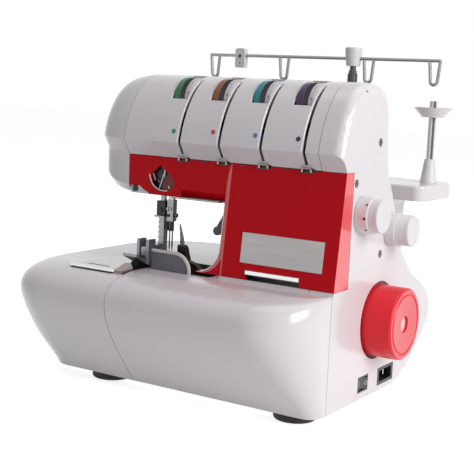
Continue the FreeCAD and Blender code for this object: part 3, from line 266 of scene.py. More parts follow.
along_x, along_y, along_z = (0.04, 1, 1), (1, 0.04, 1), (1, 1, 0.04)
bright_chrome = metal("bright_chrome", (0.72, 0.72, 0.74), 0.10, drift=0.04, bump=0.02)
plate_chrome = metal("plate_chrome", (0.47, 0.45, 0.46), 0.2, along_x, 300.0, 0.2)
clamp_steel = metal("clamp_steel", (0.36, 0.35, 0.37), 0.28, along_x, 300.0, 0.2)
bare_metal = metal("bare_metal", (0.30, 0.22, 0.20), 0.4, along_x, 260.0, 0.3)
ground_plate = metal("ground_plate", (0.52, 0.52, 0.54), 0.28, along_x, 500.0)
drawn_bar = metal("drawn_bar", (0.55, 0.55, 0.57), 0.24, along_z, 700.0)
drawn_wire = metal("drawn_wire", (0.30, 0.30, 0.31), 0.3, along_x, 700.0)
foot_steel = metal("foot_steel", (0.30, 0.30, 0.33), 0.38, along_y, 500.0)
dark_steel = metal("dark_steel", (0.16, 0.16, 0.17), 0.34, along_y, 500.0)
satin_badge = metal("satin_badge", (0.40, 0.375, 0.375), 0.38, along_x, 600.0)
cast_frame = metal("cast_frame", (0.33, 0.33, 0.35), 0.55, None, 400.0, 0.25, 0.35)
bearing_bronze = metal("bearing_bronze", (0.55, 0.36, 0.14), 0.35, along_x, 300.0)
motor_can = metal("motor_can", (0.3, 0.31, 0.33), 0.4, along_x, 300.0)
print("finishes:", len(bpy.data.materials))

# %% [markdown]
# Some solids already have the shape of the real piece and stay as they are: the parts inside the casing, the needles
# and knives, the feet and the thread wire. Each of them gets the finish of the real piece. A solid's own mesh is left
# alone: only its material slot changes. All other solids are replaced further down by pieces with their own finish.

# %% Dress the solids that stay
dress = {
    soft_rubber: ["rubber_feet", "drive_belt"],
    ground_plate: ["upper_knife", "lower_knife", "feed_dogs", "tension_discs", "base_plate"],
    drawn_bar: ["needle_bar", "main_shaft", "hinge_rod", "take_up_wires", "lower_looper", "upper_looper"],
    drawn_wire: ["thread_guide_wire"],
    dark_steel: ["needles"],
    cast_frame: ["machine_frame", "tension_bracket", "shaft_pulley"],
    bearing_bronze: ["shaft_bushes"],
    motor_can: ["motor", "motor_pulley"],
}
for finish, names in dress.items():
    for name in names:
        solid = nodes[name]
        solid.data.materials.clear()
        solid.data.materials.append(finish)
print("dressed:", sum(len(names) for names in dress.values()))

# %% [markdown]
# From here on shapes are modelled as by hand. A handful of small tools keep the cells short: they add a primitive at
# its size and place in millimetres, choose faces or edges by where they are, and hand a finished piece to the frame.
# A piece rides on the body of the real part that carries it, so it follows that part at every pose.

# %% Hand tools


def take(piece):
    """Makes one object the only selected and active one."""
    if bpy.context.mode != "OBJECT":
        bpy.ops.object.mode_set(mode="OBJECT")
    bpy.ops.object.select_all(action="DESELECT")
    if piece:
        piece.select_set(True)
        bpy.context.view_layer.objects.active = piece


def settle(name):
    piece = bpy.context.object
    piece.name = piece.data.name = name
    bpy.ops.object.transform_apply(location=True, rotation=True, scale=True)
    return piece


def block(name, low, high):
    take(None)
    middle = [(a + b) / 2 * mm for a, b in zip(low, high)]
    size = [(b - a) * mm for a, b in zip(low, high)]
    bpy.ops.mesh.primitive_cube_add(size=1, location=middle, scale=size)
    return settle(name)


def drum(name, start, axis, radius, length, sides=64):
    """Cylinder whose first end has its middle at start."""
    take(None)
    axis = Vector(axis)
    middle = (Vector(start) + axis * length / 2) * mm
    bpy.ops.mesh.primitive_cylinder_add(vertices=sides, radius=radius * mm, depth=length * mm, location=middle,
                                        rotation=axis.to_track_quat("Z", "Y").to_euler())
    return settle(name)


def pick(piece, kind, test):
    """Edit mode with the faces or edges selected whose middle (mm) and normal or direction pass the test."""
    take(piece)
    bpy.ops.object.mode_set(mode="EDIT")
    bpy.ops.mesh.select_mode(type=kind)
    bpy.ops.mesh.select_all(action="DESELECT")
    shape = bmesh.from_edit_mesh(piece.data)
    for item in (shape.faces if kind == "FACE" else shape.edges):
        if kind == "FACE":
            chosen = test(item.calc_center_median() / mm, item.normal)
        else:
            a, b = (v.co for v in item.verts)
            chosen = test((a + b) / 2 / mm, (b - a).normalized())
        item.select_set(bool(chosen))
    shape.select_flush_mode()
    bmesh.update_edit_mesh(piece.data)


def round_edges(piece, width, steps=2, angle=40):
    """Bevel modifier on every edge sharper than the angle, applied."""
    take(piece)
    soft = piece.modifiers.new("soft_edges", "BEVEL")
    soft.width = width * mm
    soft.segments = steps
    soft.limit_method = "ANGLE"
    soft.angle_limit = math.radians(angle)
    soft.use_clamp_overlap = True
    bpy.ops.object.modifier_apply(modifier=soft.name)


def merged_copy(node, name):
    """Own copy of a solid's mesh with its loose triangles merged and its flat faces joined."""
    piece = bpy.data.objects.new(name, nodes[node].data.copy())
    piece.data.name = name
    scene.collection.objects.link(piece)
    take(piece)
    bpy.ops.object.mode_set(mode="EDIT")
    bpy.ops.mesh.select_all(action="SELECT")
    bpy.ops.mesh.remove_doubles(threshold=0.000004)
    bpy.ops.mesh.dissolve_limited(angle_limit=math.radians(0.6))
    bpy.ops.object.mode_set(mode="OBJECT")
    return piece


def hand_over(piece, finish, body, slot, *replaced, angle=32):
    """Smooth shading, finish, body; and the solids that the piece stands for. The slot is not used."""
    take(piece)
    bpy.ops.object.shade_smooth_by_angle(angle=math.radians(angle))
    flat = piece.modifiers.new("flat_faces", "WEIGHTED_NORMAL")
    flat.keep_sharp = True
    flat.weight = 100
    bpy.ops.object.modifier_apply(modifier=flat.name)
    if finish:
        piece.data.materials.clear()
        piece.data.materials.append(finish)
    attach(piece, body)
    if replaced:
        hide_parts(*replaced)
    return piece


def join(first, others):
    take(first)
    for other in others:
        other.select_set(True)
    bpy.ops.object.join()
    return first


def drawn_path(name, points):
    """Vertices drawn one after another, as by hand: one point, then extruded from place to place (mm)."""
    take(None)
    points = [Vector(p) * mm for p in points]
    bpy.ops.mesh.primitive_plane_add(size=mm, location=points[0])
    path = settle(name)
    bpy.ops.object.mode_set(mode="EDIT")
    bpy.ops.mesh.select_mode(type="VERT")
    bpy.ops.mesh.select_all(action="SELECT")
    bpy.ops.mesh.merge(type="CENTER")
    for a, b in zip(points, points[1:]):
        bpy.ops.mesh.extrude_vertices_move(TRANSFORM_OT_translate={"value": b - a})
    return path


def plate(name, points, thickness):
    """Drawn outline, closed and filled, then extruded by a vector in mm."""
    piece = drawn_path(name, points)
    bpy.ops.mesh.select_all(action="SELECT")
    bpy.ops.mesh.edge_face_add()
    bpy.ops.mesh.extrude_region_move(TRANSFORM_OT_translate={"value": Vector(thickness) * mm})
    bpy.ops.mesh.select_all(action="SELECT")
    bpy.ops.mesh.normals_make_consistent(inside=False)
    bpy.ops.object.mode_set(mode="OBJECT")
    return piece


def bent_wire(name, points, radius):
    """Drawn path turned into a round wire."""
    piece = drawn_path(name, points)
    bpy.ops.object.mode_set(mode="OBJECT")
    bpy.ops.object.convert(target="CURVE")
    piece = bpy.context.object
    piece.data.bevel_depth = radius * mm
    piece.data.bevel_resolution = 3
    piece.data.use_fill_caps = True
    bpy.ops.object.convert(target="MESH")
    piece = bpy.context.object
    bpy.ops.object.mode_set(mode="EDIT")
    bpy.ops.mesh.select_all(action="SELECT")
    bpy.ops.mesh.normals_make_consistent(inside=False)
    bpy.ops.object.mode_set(mode="OBJECT")
    return piece


print("hand tools ready")

# %% [markdown]
# The white and red covers are thin mouldings whose edges were never sharp: the mould leaves a radius of a few tenths
# of a millimetre, and that radius is what draws the thin bright lines along the slots and seams. The solids have the
# right shapes with sharp edges, so each cover is a merged copy of its solid with a small bevel on the sharp edges.
# Modelling them again from a cube would only bring the same surfaces back less exactly. The same is done for the
# small cast, pressed and moulded pieces whose form is already right.

# %% Pieces with rounded edges
softened = {
    "right_side_cover": (white_shell, "machine", "white_plastic", 0.5),
    "left_face_cover": (white_shell, "machine", "white_plastic", 0.4),
    "rear_cover": (white_shell, "machine", "white_plastic", 0.4),
    "spool_stand": (white_shell, "machine", "white_plastic", 0.5),
    "front_cover": (white_shell, "looper_door", "white_plastic", 0.4),
    "left_table": (white_shell, "table", "white_plastic", 0.4),
    "red_front_panel": (red_shell, "machine", "red_plastic", 0.5),
    "cloth_plate": (plate_chrome, "table", "chrome", 0.3),
    "needle_plate": (ground_plate, "machine", "steel", 0.2),
    "finger_trim": (bright_chrome, "machine", "chrome", 0.3),
    "name_plate": (satin_badge, "machine", "bare_plate", 0.25),
    "guard_rim": (rim_white, "looper_door", "white_small", 0.6),
    "cover_guard": (grey_guard, "looper_door", "grey_plastic", 0.3),
    "knife_arm": (black_moulding, "knife", "black_plastic", 0.7),
    "presser_holder": (black_moulding, "presser", "black_plastic", 0.3),
    "presser_bar": (clamp_steel, "presser", "steel", 0.2),
    "presser_foot": (foot_steel, "foot", "steel", 0.35),
    "lifter_lever": (grey_lever, "lifter", "grey_plastic", 0.8),
    "wire_tab": (white_knob, "mast_top", "white_small", 0.5),
    "power_inlet": (black_moulding, "machine", "black_plastic", 0.4),
    "switch_housing": (black_moulding, "machine", "black_plastic", 0.4),
    "switch_rocker": (grey_rocker, "rocker", "black_plastic", 0.4),
    "cover_screws": (dark_steel, "machine", "dark_screw", 0.2),
}
for node, (finish, body, slot, width) in softened.items():
    piece = merged_copy(node, node + "_soft")
    round_edges(piece, width)
    hand_over(piece, finish, body, slot, node)
print("softened:", len(softened))

# %% [markdown]
# The left wall of every thread slot catches the lamp and shows as a bright line beside the dark gap, because the real
# cover has a broad chamfer there to guide the thread in. The edges to cut are those of the outer surface at each
# slot's left side: one of their two faces looks into the slot, the other outwards. They get a flat bevel in edit
# mode, and the rest of the head is rounded as before.

# %% Head cover with chamfered slots
slot_places = [-20.5, 20.0, 60.5, 101.0]
head = merged_copy("head_cover", "head_cover_soft")
take(head)
bpy.ops.object.mode_set(mode="EDIT")
bpy.ops.mesh.select_mode(type="EDGE")
bpy.ops.mesh.select_all(action="DESELECT")
shape = bmesh.from_edit_mesh(head.data)
inside = Vector((0, -0.015, 0.225))
for edge in shape.edges:
    middle = (edge.verts[0].co + edge.verts[1].co) / 2
    if len(edge.link_faces) == 2 and min(abs(middle.x / mm - x) for x in slot_places) < 0.05:
        normals = [face.normal for face in edge.link_faces]
        outward = Vector((0, middle.y - inside.y, middle.z - inside.z)).normalized()
        edge.select_set(any(n.x > 0.9 for n in normals) and any(n.dot(outward) > 0.6 for n in normals))
bmesh.update_edit_mesh(head.data)
bpy.ops.mesh.bevel(offset=0.8 * mm, segments=1, affect="EDGES", clamp_overlap=True)
bpy.ops.object.mode_set(mode="OBJECT")
round_edges(head, 0.35)
hand_over(head, white_shell, "machine", "white_plastic", "head_cover")
print("head faces:", len(head.data.polygons))

# %% [markdown]
# Each tension dial is a thumb wheel in three bands: a coloured band that tells the threads apart, a ribbed grip and a
# pale band with numbers. A cylinder is cut at two planes into the bands, every face of the middle band is inset and
# sunk to make the ribs, and both ends are inset and bridged into the hole for its post. The numbers are text made
# into mesh, one laid flat on the rim for each setting.

# %% Tension dials
dial_centre = Vector((0, -41.0, 253.5))
dial_width, band_edges = 16.0, (5.6, 11.2)
dial_paints = [plastic("green_band", (0.006, 0.19, 0.075), 0.4), plastic("brown_band", (0.27, 0.075, 0.028), 0.4),
               plastic("teal_band", (0.006, 0.235, 0.27), 0.4), plastic("purple_band", (0.04, 0.008, 0.085), 0.4)]
grip_grey = plastic("grip_grey", (0.09, 0.082, 0.086), 0.5, 0.15)
number_white = plastic("number_white", (0.62, 0.60, 0.61), 0.45)
ink = plastic("ink", (0.02, 0.018, 0.022), 0.6)


def cut_at(piece, place, normal):
    """Cuts every face along a plane through a place in mm."""
    pick(piece, "FACE", lambda m, n: True)
    bpy.ops.mesh.bisect(plane_co=Vector(place) * mm, plane_no=normal)


def paint_faces(piece, slot, test):
    pick(piece, "FACE", test)
    piece.active_material_index = slot
    bpy.ops.object.material_slot_assign()
    bpy.ops.object.mode_set(mode="OBJECT")


def laid_text(words, size, place, across, upward):
    """Flat letters at a place in mm, their reading direction and their top given."""
    take(None)
    bpy.ops.object.text_add()
    letters = bpy.context.object
    letters.data.body = words
    letters.data.size = size * mm
    letters.data.align_x = "CENTER"
    letters.data.align_y = "CENTER"
    letters.data.extrude = 0.1 * mm
    letters.data.resolution_u = 3
    bpy.ops.object.convert(target="MESH")
    across, upward = Vector(across).normalized(), Vector(upward).normalized()
    turn = Matrix((across, upward, across.cross(upward))).transposed()
    letters.matrix_world = Matrix.Translation(Vector(place) * mm) @ turn.to_4x4()
    bpy.ops.object.transform_apply(location=True, rotation=True, scale=True)
    return letters


def thumb_wheel(name, left):
    wheel = drum(name, (left, dial_centre.y, dial_centre.z), (1, 0, 0), 20.0, dial_width, 96)
    for cut in band_edges:
        cut_at(wheel, (left + cut, 0, 0), (1, 0, 0))
    pick(wheel, "FACE", lambda m, n: abs(n.x) < 0.1 and band_edges[0] < m.x - left < band_edges[1])
    bpy.ops.mesh.inset(thickness=0.28 * mm, depth=-0.6 * mm, use_individual=True)
    pick(wheel, "FACE", lambda m, n: min(m.x - left, left + dial_width - m.x) < 0.01)
    bpy.ops.mesh.inset(thickness=16.6 * mm)
    bpy.ops.mesh.bridge_edge_loops()
    pick(wheel, "EDGE", lambda m, d: abs(d.x) < 0.1 and min(m.x - left, left + dial_width - m.x) < 0.01
         and (m.yz - dial_centre.yz).length > 19)
    bpy.ops.mesh.bevel(offset=0.5 * mm, segments=2, affect="EDGES")
    return wheel


for i, (x, letter) in enumerate(zip(slot_places, "abcd")):
    left = x - 1.8 - dial_width
    wheel = thumb_wheel("tension_wheel_" + letter, left)
    for finish in (dial_paints[i], grip_grey, number_white, ink):
        wheel.data.materials.append(finish)
    paint_faces(wheel, 1, lambda m, n: band_edges[0] - 0.1 < m.x - left < band_edges[1] + 0.1)
    paint_faces(wheel, 2, lambda m, n: m.x - left > band_edges[1] + 0.05)
    numbers = []
    for step in range(10):
        turn = math.radians(160 - 33 * step)
        radial = Vector((0, math.cos(turn), math.sin(turn)))
        upward = Vector((0, math.sin(turn), -math.cos(turn)))
        spot = Vector((left + 13.6, dial_centre.y, dial_centre.z)) + radial * 19.97
        number = laid_text(str(step), 3.4, spot, (1, 0, 0), upward)
        number.data.materials.append(ink)
        numbers.append(number)
    join(wheel, numbers)
    slot = ("green_dial", "orange_dial", "teal_dial", "purple_dial")[i]
    hand_over(wheel, None, "dial_" + letter, slot, "tension_dial_" + str(i + 1))
    print(wheel.name, "faces:", len(wheel.data.polygons))

# %% [markdown]
# A small coloured dot beside each slot repeats its dial's colour, so the person threading the machine can follow one
# thread. On the real head it is a drop of paint in a shallow round. Here a short disc is laid on the cover where a
# ray from the front meets it, turned to the surface and rounded at its rim.

# %% Thread dots
dots = [(-25.7, 227.4, (0.005, 0.30, 0.13), "green_dial"), (14.5, 229.0, (0.55, 0.07, 0.05), "orange_dial"),
        (55.9, 228.7, (0.09, 0.22, 0.42), "teal_dial"), (96.2, 228.4, (0.012, 0.004, 0.03), "purple_dial")]


def surface_at(name, start, way):
    """Place in mm and outward normal where a ray first meets a finished piece."""
    found, place, normal, _ = bpy.data.objects[name].ray_cast(Vector(start) * mm, Vector(way))
    assert found, name
    return place / mm, normal


for i, (x, z, colour, slot) in enumerate(dots):
    place, normal = surface_at("head_cover_soft", (x, -200, z), (0, 1, 0))
    dot = drum("thread_dot_" + str(i + 1), place - normal * 0.3, normal, 2.1, 0.55, 32)
    round_edges(dot, 0.2)
    hand_over(dot, plastic("dot_paint_" + str(i + 1), colour, 0.35), "machine", slot)
print("dots:", len(dots))

# %% [markdown]
# At the foot of every slot a small bright plate leads the thread round the edge of the red front. It is bent from
# sheet: a flat tongue with two prongs that hook down over notches, whose dark is painted shade (black blocks). The
# tongue is a block whose front face is extruded into a turned-down lip; the prongs grow from its lower side.

# %% Slot hooks and notches
hooks, notches = [], []
for x in slot_places:
    tongue = block("slot_hook", (x - 3.4, -73.4, 204.4), (x + 6.6, -66.0, 205.0))
    pick(tongue, "FACE", lambda m, n: n.y < -0.9)
    bpy.ops.mesh.extrude_region_move(TRANSFORM_OT_translate={"value": (0, -0.7 * mm, 0.5 * mm)})
    bpy.ops.object.mode_set(mode="OBJECT")
    for left in (x - 3.4, x + 4.8):
        prong = block("prong", (left, -72.2, 202.4), (left + 1.8, -71.4, 204.6))
        pick(prong, "FACE", lambda m, n: n.z < -0.9)
        bpy.ops.mesh.extrude_region_move(TRANSFORM_OT_translate={"value": (0, 0.6 * mm, -0.8 * mm)})
        bpy.ops.object.mode_set(mode="OBJECT")
        hooks.append(prong)
    hooks.append(tongue)
    # Painted shade: each notch is a black block standing for the shade inside the recess.
    notches.append(block("notch", (x - 4.8, -70.5, 201.2), (x + 8.4, -68.5, 203.6)))
    if x < slot_places[-1]:
        notches.append(block("notch", (x + 18.5, -70.4, 202.4), (x + 26.0, -68.5, 203.6)))
hook = join(hooks[-1], hooks[:-1])
hook.name = "slot_hooks"
round_edges(hook, 0.25)
hand_over(hook, satin_badge, "machine", "chrome", "slot_guides")
notch = join(notches[0], notches[1:])
notch.name = "thread_notches"
round_edges(notch, 0.4)
hand_over(notch, black_moulding, "machine", "black_plastic")
print("hooks and notches:", len(hook.data.polygons), len(notch.data.polygons))

# %% [markdown]
# The rounded left edge of the column, its flared foot and the narrow strip at the right side get a lighter, glossier
# red. The lighter colour is painted highlight: it stands for the reflection along the column's grazing edge and for
# the side lamp on the right strip. These faces are found by their direction and their place, and get a second finish.

# %% Painted highlight on the edges of the red front
red = bpy.data.objects["red_front_panel_soft"]
red.data.materials.append(red_painted_highlight)
# Painted highlight: the lighter red goes on the column's left edge, for the reflection along it, and on the right
# strip facing the side lamp.
paint_faces(red, 1, lambda m, n: n.x < -0.1 and m.x > -5 and m.y < -55 and m.z > 106)
paint_faces(red, 1, lambda m, n: n.x > 0.7 and m.x > 136)
print("red front finishes:", [m.name for m in red.data.materials])

# %% [markdown]
# The shield-shaped window in the red front lets the thread be lifted over the take-up wires. On the real machine it
# is a moulded pocket: black inside, with a pale rim along its lower left side and a folded red wall on the right. The
# solid has only the hole, so a dark back, a red sill below the rim, a folded wall and two guide wires are drawn here
# point by point, filled and extruded, the way an outline is traced over a picture.

# %% The shield window
pocket = block("shield_back", (-57, -64.9, 170.6), (-27, -64.3, 195.4))
round_edges(pocket, 0.2)
hand_over(pocket, black_moulding, "machine", "black_plastic")
front_y = -70.05
curve = [(-55.3, 187.7), (-54.2, 184.1), (-52.8, 181.2), (-50.8, 178.5), (-47.8, 176.2), (-44.3, 174.8), (-40, 174.3),
         (-35.3, 174.6)]
sill_outline = [(x, front_y, z) for x, z in curve + [
    (-32.7, 176.5), (-27.4, 177.5), (-23.4, 177.0), (-20.6, 176.0), (-20.6, 170.0), (-56.0, 170.0), (-56.0, 171.4),
    (-59.6, 172.6), (-64.2, 175.4), (-68.1, 179.2), (-57.0, 187.7)]]
sill = plate("shield_sill", sill_outline, (0, 1.3, 0))
round_edges(sill, 0.3)
hand_over(sill, red_shell, "machine", "red_plastic")
corner_outline = [(x, front_y, z) for x, z in [
    (-42.4, 196.6), (-42.4, 194.4), (-40.6, 192.9), (-36.9, 191.4), (-32.5, 187.4), (-29.8, 184.4), (-28.0, 184.6),
    (-28.0, 187.2), (-37.4, 197.2)]]
corner = plate("shield_corner", corner_outline, (0, 1.3, 0))
round_edges(corner, 0.3)
hand_over(corner, red_shell, "machine", "red_plastic")
# The folded wall is the front's red with painted shade: a darker red for the shadow inside the pocket.
red_painted_shade = plastic("red_painted_shade", (0.16, 0.002, 0.005), 0.35, 0.2)
wall_outline = [(-44.0, -68.0, 175.0), (-39.1, -68.1, 186.0), (-35.6, -68.2, 190.4), (-29.4, -68.6, 187.0),
                (-28.2, -68.7, 175.0)]
wall = plate("shield_wall", wall_outline, (0, 0.8, 0))
round_edges(wall, 0.2)
hand_over(wall, red_painted_shade, "machine", "red_plastic")
rim = bent_wire("shield_rim", [(x, -70.2, z) for x, z in curve], 0.55)
hand_over(rim, rim_white, "machine", "white_small")
guides = [bent_wire("guide", [(-52.9, -67.4, 188.5), (-52.0, -67.4, 186.0), (-50.8, -67.4, 182.8)], 0.45),
          bent_wire("guide", [(-41.1, -68.4, 188.7), (-43.0, -68.4, 182.4), (-45.7, -68.4, 175.2)], 0.5),
          bent_wire("guide", [(-47.0, -67.4, 182.8), (-46.6, -67.4, 181.2)], 0.45),
          bent_wire("guide", [(-34.6, -69.4, 178.6), (-33.6, -69.4, 176.6)], 0.5)]
guide = join(guides[0], guides[1:])
guide.name = "shield_guides"
hand_over(guide, rim_white, "machine", "white_small")
print("shield:", [o.name for o in (pocket, sill, corner, wall, rim, guide)])

# %% [markdown]
# Under the arm a thin bright strip closes the red front against the casting, and a small dark latch holds the white
# face cover at the left. Both are blocks whose edges are broken by a bevel; the latch gets a step by extruding its
# lower half.

# %% Strip and latch under the arm
lip_outline = [(x, -69.7, z) for x, z in [
    (-75.4, 179.6), (-68.1, 179.0), (-64.2, 175.4), (-59.6, 172.6), (-55.5, 171.6), (-55.5, 170.0), (-75.4, 170.0)]]
lip = plate("face_lip", lip_outline, (0, 1.2, 0))
round_edges(lip, 0.3)
hand_over(lip, white_shell, "machine", "white_plastic")
strip = block("arm_strip", (-31, -69.4, 168.8), (19, -60, 169.9))
pick(strip, "FACE", lambda m, n: n.y < -0.9)
bpy.ops.mesh.extrude_region_move(TRANSFORM_OT_translate={"value": (0, -0.5 * mm, 0.4 * mm)})
bpy.ops.object.mode_set(mode="OBJECT")
round_edges(strip, 0.25)
hand_over(strip, satin_badge, "machine", "steel")
latch = block("face_latch", (-72.6, -71.3, 171.6), (-68.0, -69.0, 176.8))
latch_step = 174.2
cut_at(latch, (0, 0, latch_step), (0, 0, 1))
pick(latch, "FACE", lambda m, n: n.y < -0.9 and m.z < latch_step)
bpy.ops.mesh.inset(thickness=0.7 * mm, depth=-0.8 * mm)
bpy.ops.object.mode_set(mode="OBJECT")
round_edges(latch, 0.25)
hand_over(latch, black_moulding, "machine", "black_plastic")
print("strip and latch ready")

# %% [markdown]
# The handwheel is one red moulding: a flat face with a shallow ring groove near the rim, a slightly dished middle and
# a round well with a pale floor. All of it grows out of one cylinder's end by insets, some of them sunk, and its rim
# is rounded by a bevel on the outer edge loop only. The face gets a lighter red: painted light, standing in for the
# side lamp that falls on it.

# %% Handwheel
wheel_axis = Vector((0, 5.0, 74.0))
wheel = drum("hand_wheel", (135, wheel_axis.y, wheel_axis.z), (1, 0, 0), 31.0, 29.0, 96)
wheel.data.materials.append(red_wheel)
wheel.data.materials.append(white_knob)
wheel.data.materials.append(wheel_face_painted_light)
pick(wheel, "FACE", lambda m, n: n.x > 0.9)
bpy.ops.mesh.inset(thickness=4.2 * mm)
bpy.ops.mesh.inset(thickness=0.7 * mm, depth=-1.0 * mm)
bpy.ops.mesh.inset(thickness=0.9 * mm)
bpy.ops.mesh.inset(thickness=0.7 * mm, depth=1.0 * mm)
bpy.ops.mesh.inset(thickness=11.5 * mm, depth=-0.9 * mm)
bpy.ops.mesh.inset(thickness=5.8 * mm)
bpy.ops.mesh.extrude_region_move(TRANSFORM_OT_translate={"value": (-2.6 * mm, 0, 0)})
wheel.active_material_index = 1
bpy.ops.object.material_slot_assign()
pick(wheel, "EDGE", lambda m, d: abs(d.x) < 0.1 and m.x > 163.9 and (m.yz - wheel_axis.yz).length > 30.5)
bpy.ops.mesh.bevel(offset=2.4 * mm, segments=5, affect="EDGES")
bpy.ops.object.mode_set(mode="OBJECT")
round_edges(wheel, 0.3)
# Painted light: the faces turned to the side lamp get the lighter red.
paint_faces(wheel, 2, lambda m, n: n.x > 0.9 and (m.yz - wheel_axis.yz).length > 7.6)
hand_over(wheel, None, "drive", "red_plastic", "handwheel")
print("handwheel faces:", len(wheel.data.polygons))

# %% [markdown]
# The two setting knobs on the right side are pale mouldings with a broad skirt, a fine groove behind the front
# rim and, on the larger one, small dots that mark its settings. A cylinder's front is inset and extruded for each
# step; the groove is a ring of faces between two cuts, sunk by an inset.

# %% Setting knobs


def knob(name, y, z, steps, groove_x):
    """Turned form from (x, radius) steps; the first two steps are the skirt."""
    (x0, skirt), rest = steps[0], steps[1:]
    piece = drum(name, (x0, y, z), (1, 0, 0), skirt, rest[0][0] - x0, 72)
    last_x, last_r = rest[0][0], skirt
    for x, radius in rest:
        pick(piece, "FACE", lambda m, n: n.x > 0.9 and m.x > last_x - 0.01)
        if radius < last_r:
            bpy.ops.mesh.inset(thickness=(last_r - radius) * mm)
        if x > last_x:
            bpy.ops.mesh.extrude_region_move(TRANSFORM_OT_translate={"value": ((x - last_x) * mm, 0, 0)})
        last_x, last_r = x, radius
    groove_end = groove_x + 0.8
    for cut in (groove_x, groove_end):
        cut_at(piece, (cut, 0, 0), (1, 0, 0))
    pick(piece, "FACE", lambda m, n: abs(n.x) < 0.1 and groove_x < m.x < groove_end)
    bpy.ops.mesh.inset(thickness=0.05 * mm, depth=-0.5 * mm)
    pick(piece, "EDGE", lambda m, d: abs(d.x) < 0.1 and m.x > last_x - 0.01
         and math.hypot(m.y - y, m.z - z) > last_r - 0.2)
    bpy.ops.mesh.bevel(offset=1.3 * mm, segments=4, affect="EDGES")
    bpy.ops.object.mode_set(mode="OBJECT")
    round_edges(piece, 0.35)
    return piece


length_axis = Vector((0, -39.0, 169.0))
length_steps = [(138.4, 15.3), (149.0, 15.3), (149.3, 13.9), (158.0, 13.9)]
length_knob = knob("length_knob", length_axis.y, length_axis.z, length_steps, 153.6)
hand_over(length_knob, white_knob, "length_dial", "white_small", "stitch_length_dial")
feed_steps = [(138.4, 14.5), (147.4, 14.5), (147.6, 13.4), (160.0, 13.4)]
feed_knob = knob("feed_knob", 20.0, 152.0, feed_steps, 155.6)
hand_over(feed_knob, white_knob, "feed_dial", "white_small", "differential_dial")
marks = []
for x, y, z, radius in ((147.6, -50.9, 178.6, 0.95), (147.4, -54.2, 167.6, 1.2), (147.4, -49.8, 158.2, 0.95)):
    outward = (Vector((0, y, z)) - length_axis).normalized()
    marks.append(drum("mark", length_axis + Vector((x, 0, 0)) + outward * 15.0, outward, radius, 0.5, 20))
mark = join(marks[0], marks[1:])
mark.name = "length_marks"
round_edges(mark, 0.15)
hand_over(mark, plastic("mark_red", (0.06, 0.004, 0.01), 0.5), "length_dial", "black_plastic")
print("knobs:", length_knob.dimensions.x, feed_knob.dimensions.x)

# %% [markdown]
# A spool pin is a slim moulding with a cone at its foot and a dark groove along the shaft, and a shallow bowl near
# the top steadies the thread cone. One pin and one bowl are modelled from a cylinder each: the cone's top is scaled
# down, the shaft extruded from an inset, the groove is a strip of side faces sunk by an inset. They are then copied
# to the other three places.

# %% Spool pins and bowls
pin_places, pin_row = [130.0, 52.0, -26.0, -104.0], 118.0
pin = drum("pin", (pin_places[0], pin_row, 186), (0, 0, 1), 8.0, 22.0, 40)
pin.data.materials.append(white_knob)
pin.data.materials.append(grip_grey)
pick(pin, "FACE", lambda m, n: n.z > 0.9)
bpy.ops.transform.resize(value=(0.6, 0.6, 1))
bpy.ops.mesh.inset(thickness=1.4 * mm)
bpy.ops.mesh.extrude_region_move(TRANSFORM_OT_translate={"value": (0, 0, 54 * mm)})
for side in (1, -1):
    pick(pin, "FACE", lambda m, n: abs(n.z) < 0.1 and m.z > 215 and n.x * side * 0.75 - n.y * side * 0.66 > 0.86)
    bpy.ops.mesh.inset(thickness=0.25 * mm, depth=-0.8 * mm)
    pin.active_material_index = 1
    bpy.ops.object.material_slot_assign()
bpy.ops.object.mode_set(mode="OBJECT")
round_edges(pin, 0.4)
bowl_foot, bowl_rim = 9.9, 18.0
bowl = drum("bowl", (pin_places[0], pin_row, 247), (0, 0, 1), bowl_foot, 9.0, 64)
pick(bowl, "FACE", lambda m, n: n.z > 0.9)
bpy.ops.transform.resize(value=(bowl_rim / bowl_foot, bowl_rim / bowl_foot, 1))
bpy.ops.mesh.inset(thickness=1.2 * mm)
bpy.ops.mesh.extrude_region_move(TRANSFORM_OT_translate={"value": (0, 0, -7.4 * mm)})
bpy.ops.transform.resize(value=(0.55, 0.55, 1))
pick(bowl, "FACE", lambda m, n: abs(n.z) > 0.9 and math.hypot(m.x - pin_places[0], m.y - pin_row) < 1)
bpy.ops.mesh.inset(thickness=5.2 * mm)
bpy.ops.mesh.bridge_edge_loops()
bpy.ops.object.mode_set(mode="OBJECT")
round_edges(bowl, 0.3)
pins, bowls = [pin], [bowl]
for x in pin_places[1:]:
    for model, group in ((pin, pins), (bowl, bowls)):
        take(model)
        bpy.ops.object.duplicate_move(TRANSFORM_OT_translate={"value": ((x - pin_places[0]) * mm, 0, 0)})
        bpy.ops.object.transform_apply(location=True, rotation=True, scale=True)
        group.append(bpy.context.object)
for i, (pin, bowl) in enumerate(zip(pins, bowls)):
    pin.name, bowl.name = "spool_pin_" + str(i + 1), "spool_bowl_" + str(i + 1)
    hand_over(pin, None, "machine", "white_small", *(["spool_pins"] if i == 0 else []))
    hand_over(bowl, white_knob, "machine", "clear_disc", *(["spool_discs"] if i == 0 else []))
print("pins and bowls:", len(pins) + len(bowls))

# %% [markdown]
# The thread mast is a dark ribbed tube with two more sliding inside it and a white cap on top that holds the wire.
# The ribs are every second side face of a cylinder, sunk one by one. The cap widens upwards: its lower end is
# scaled down, and the top gets a raised lip by two insets.

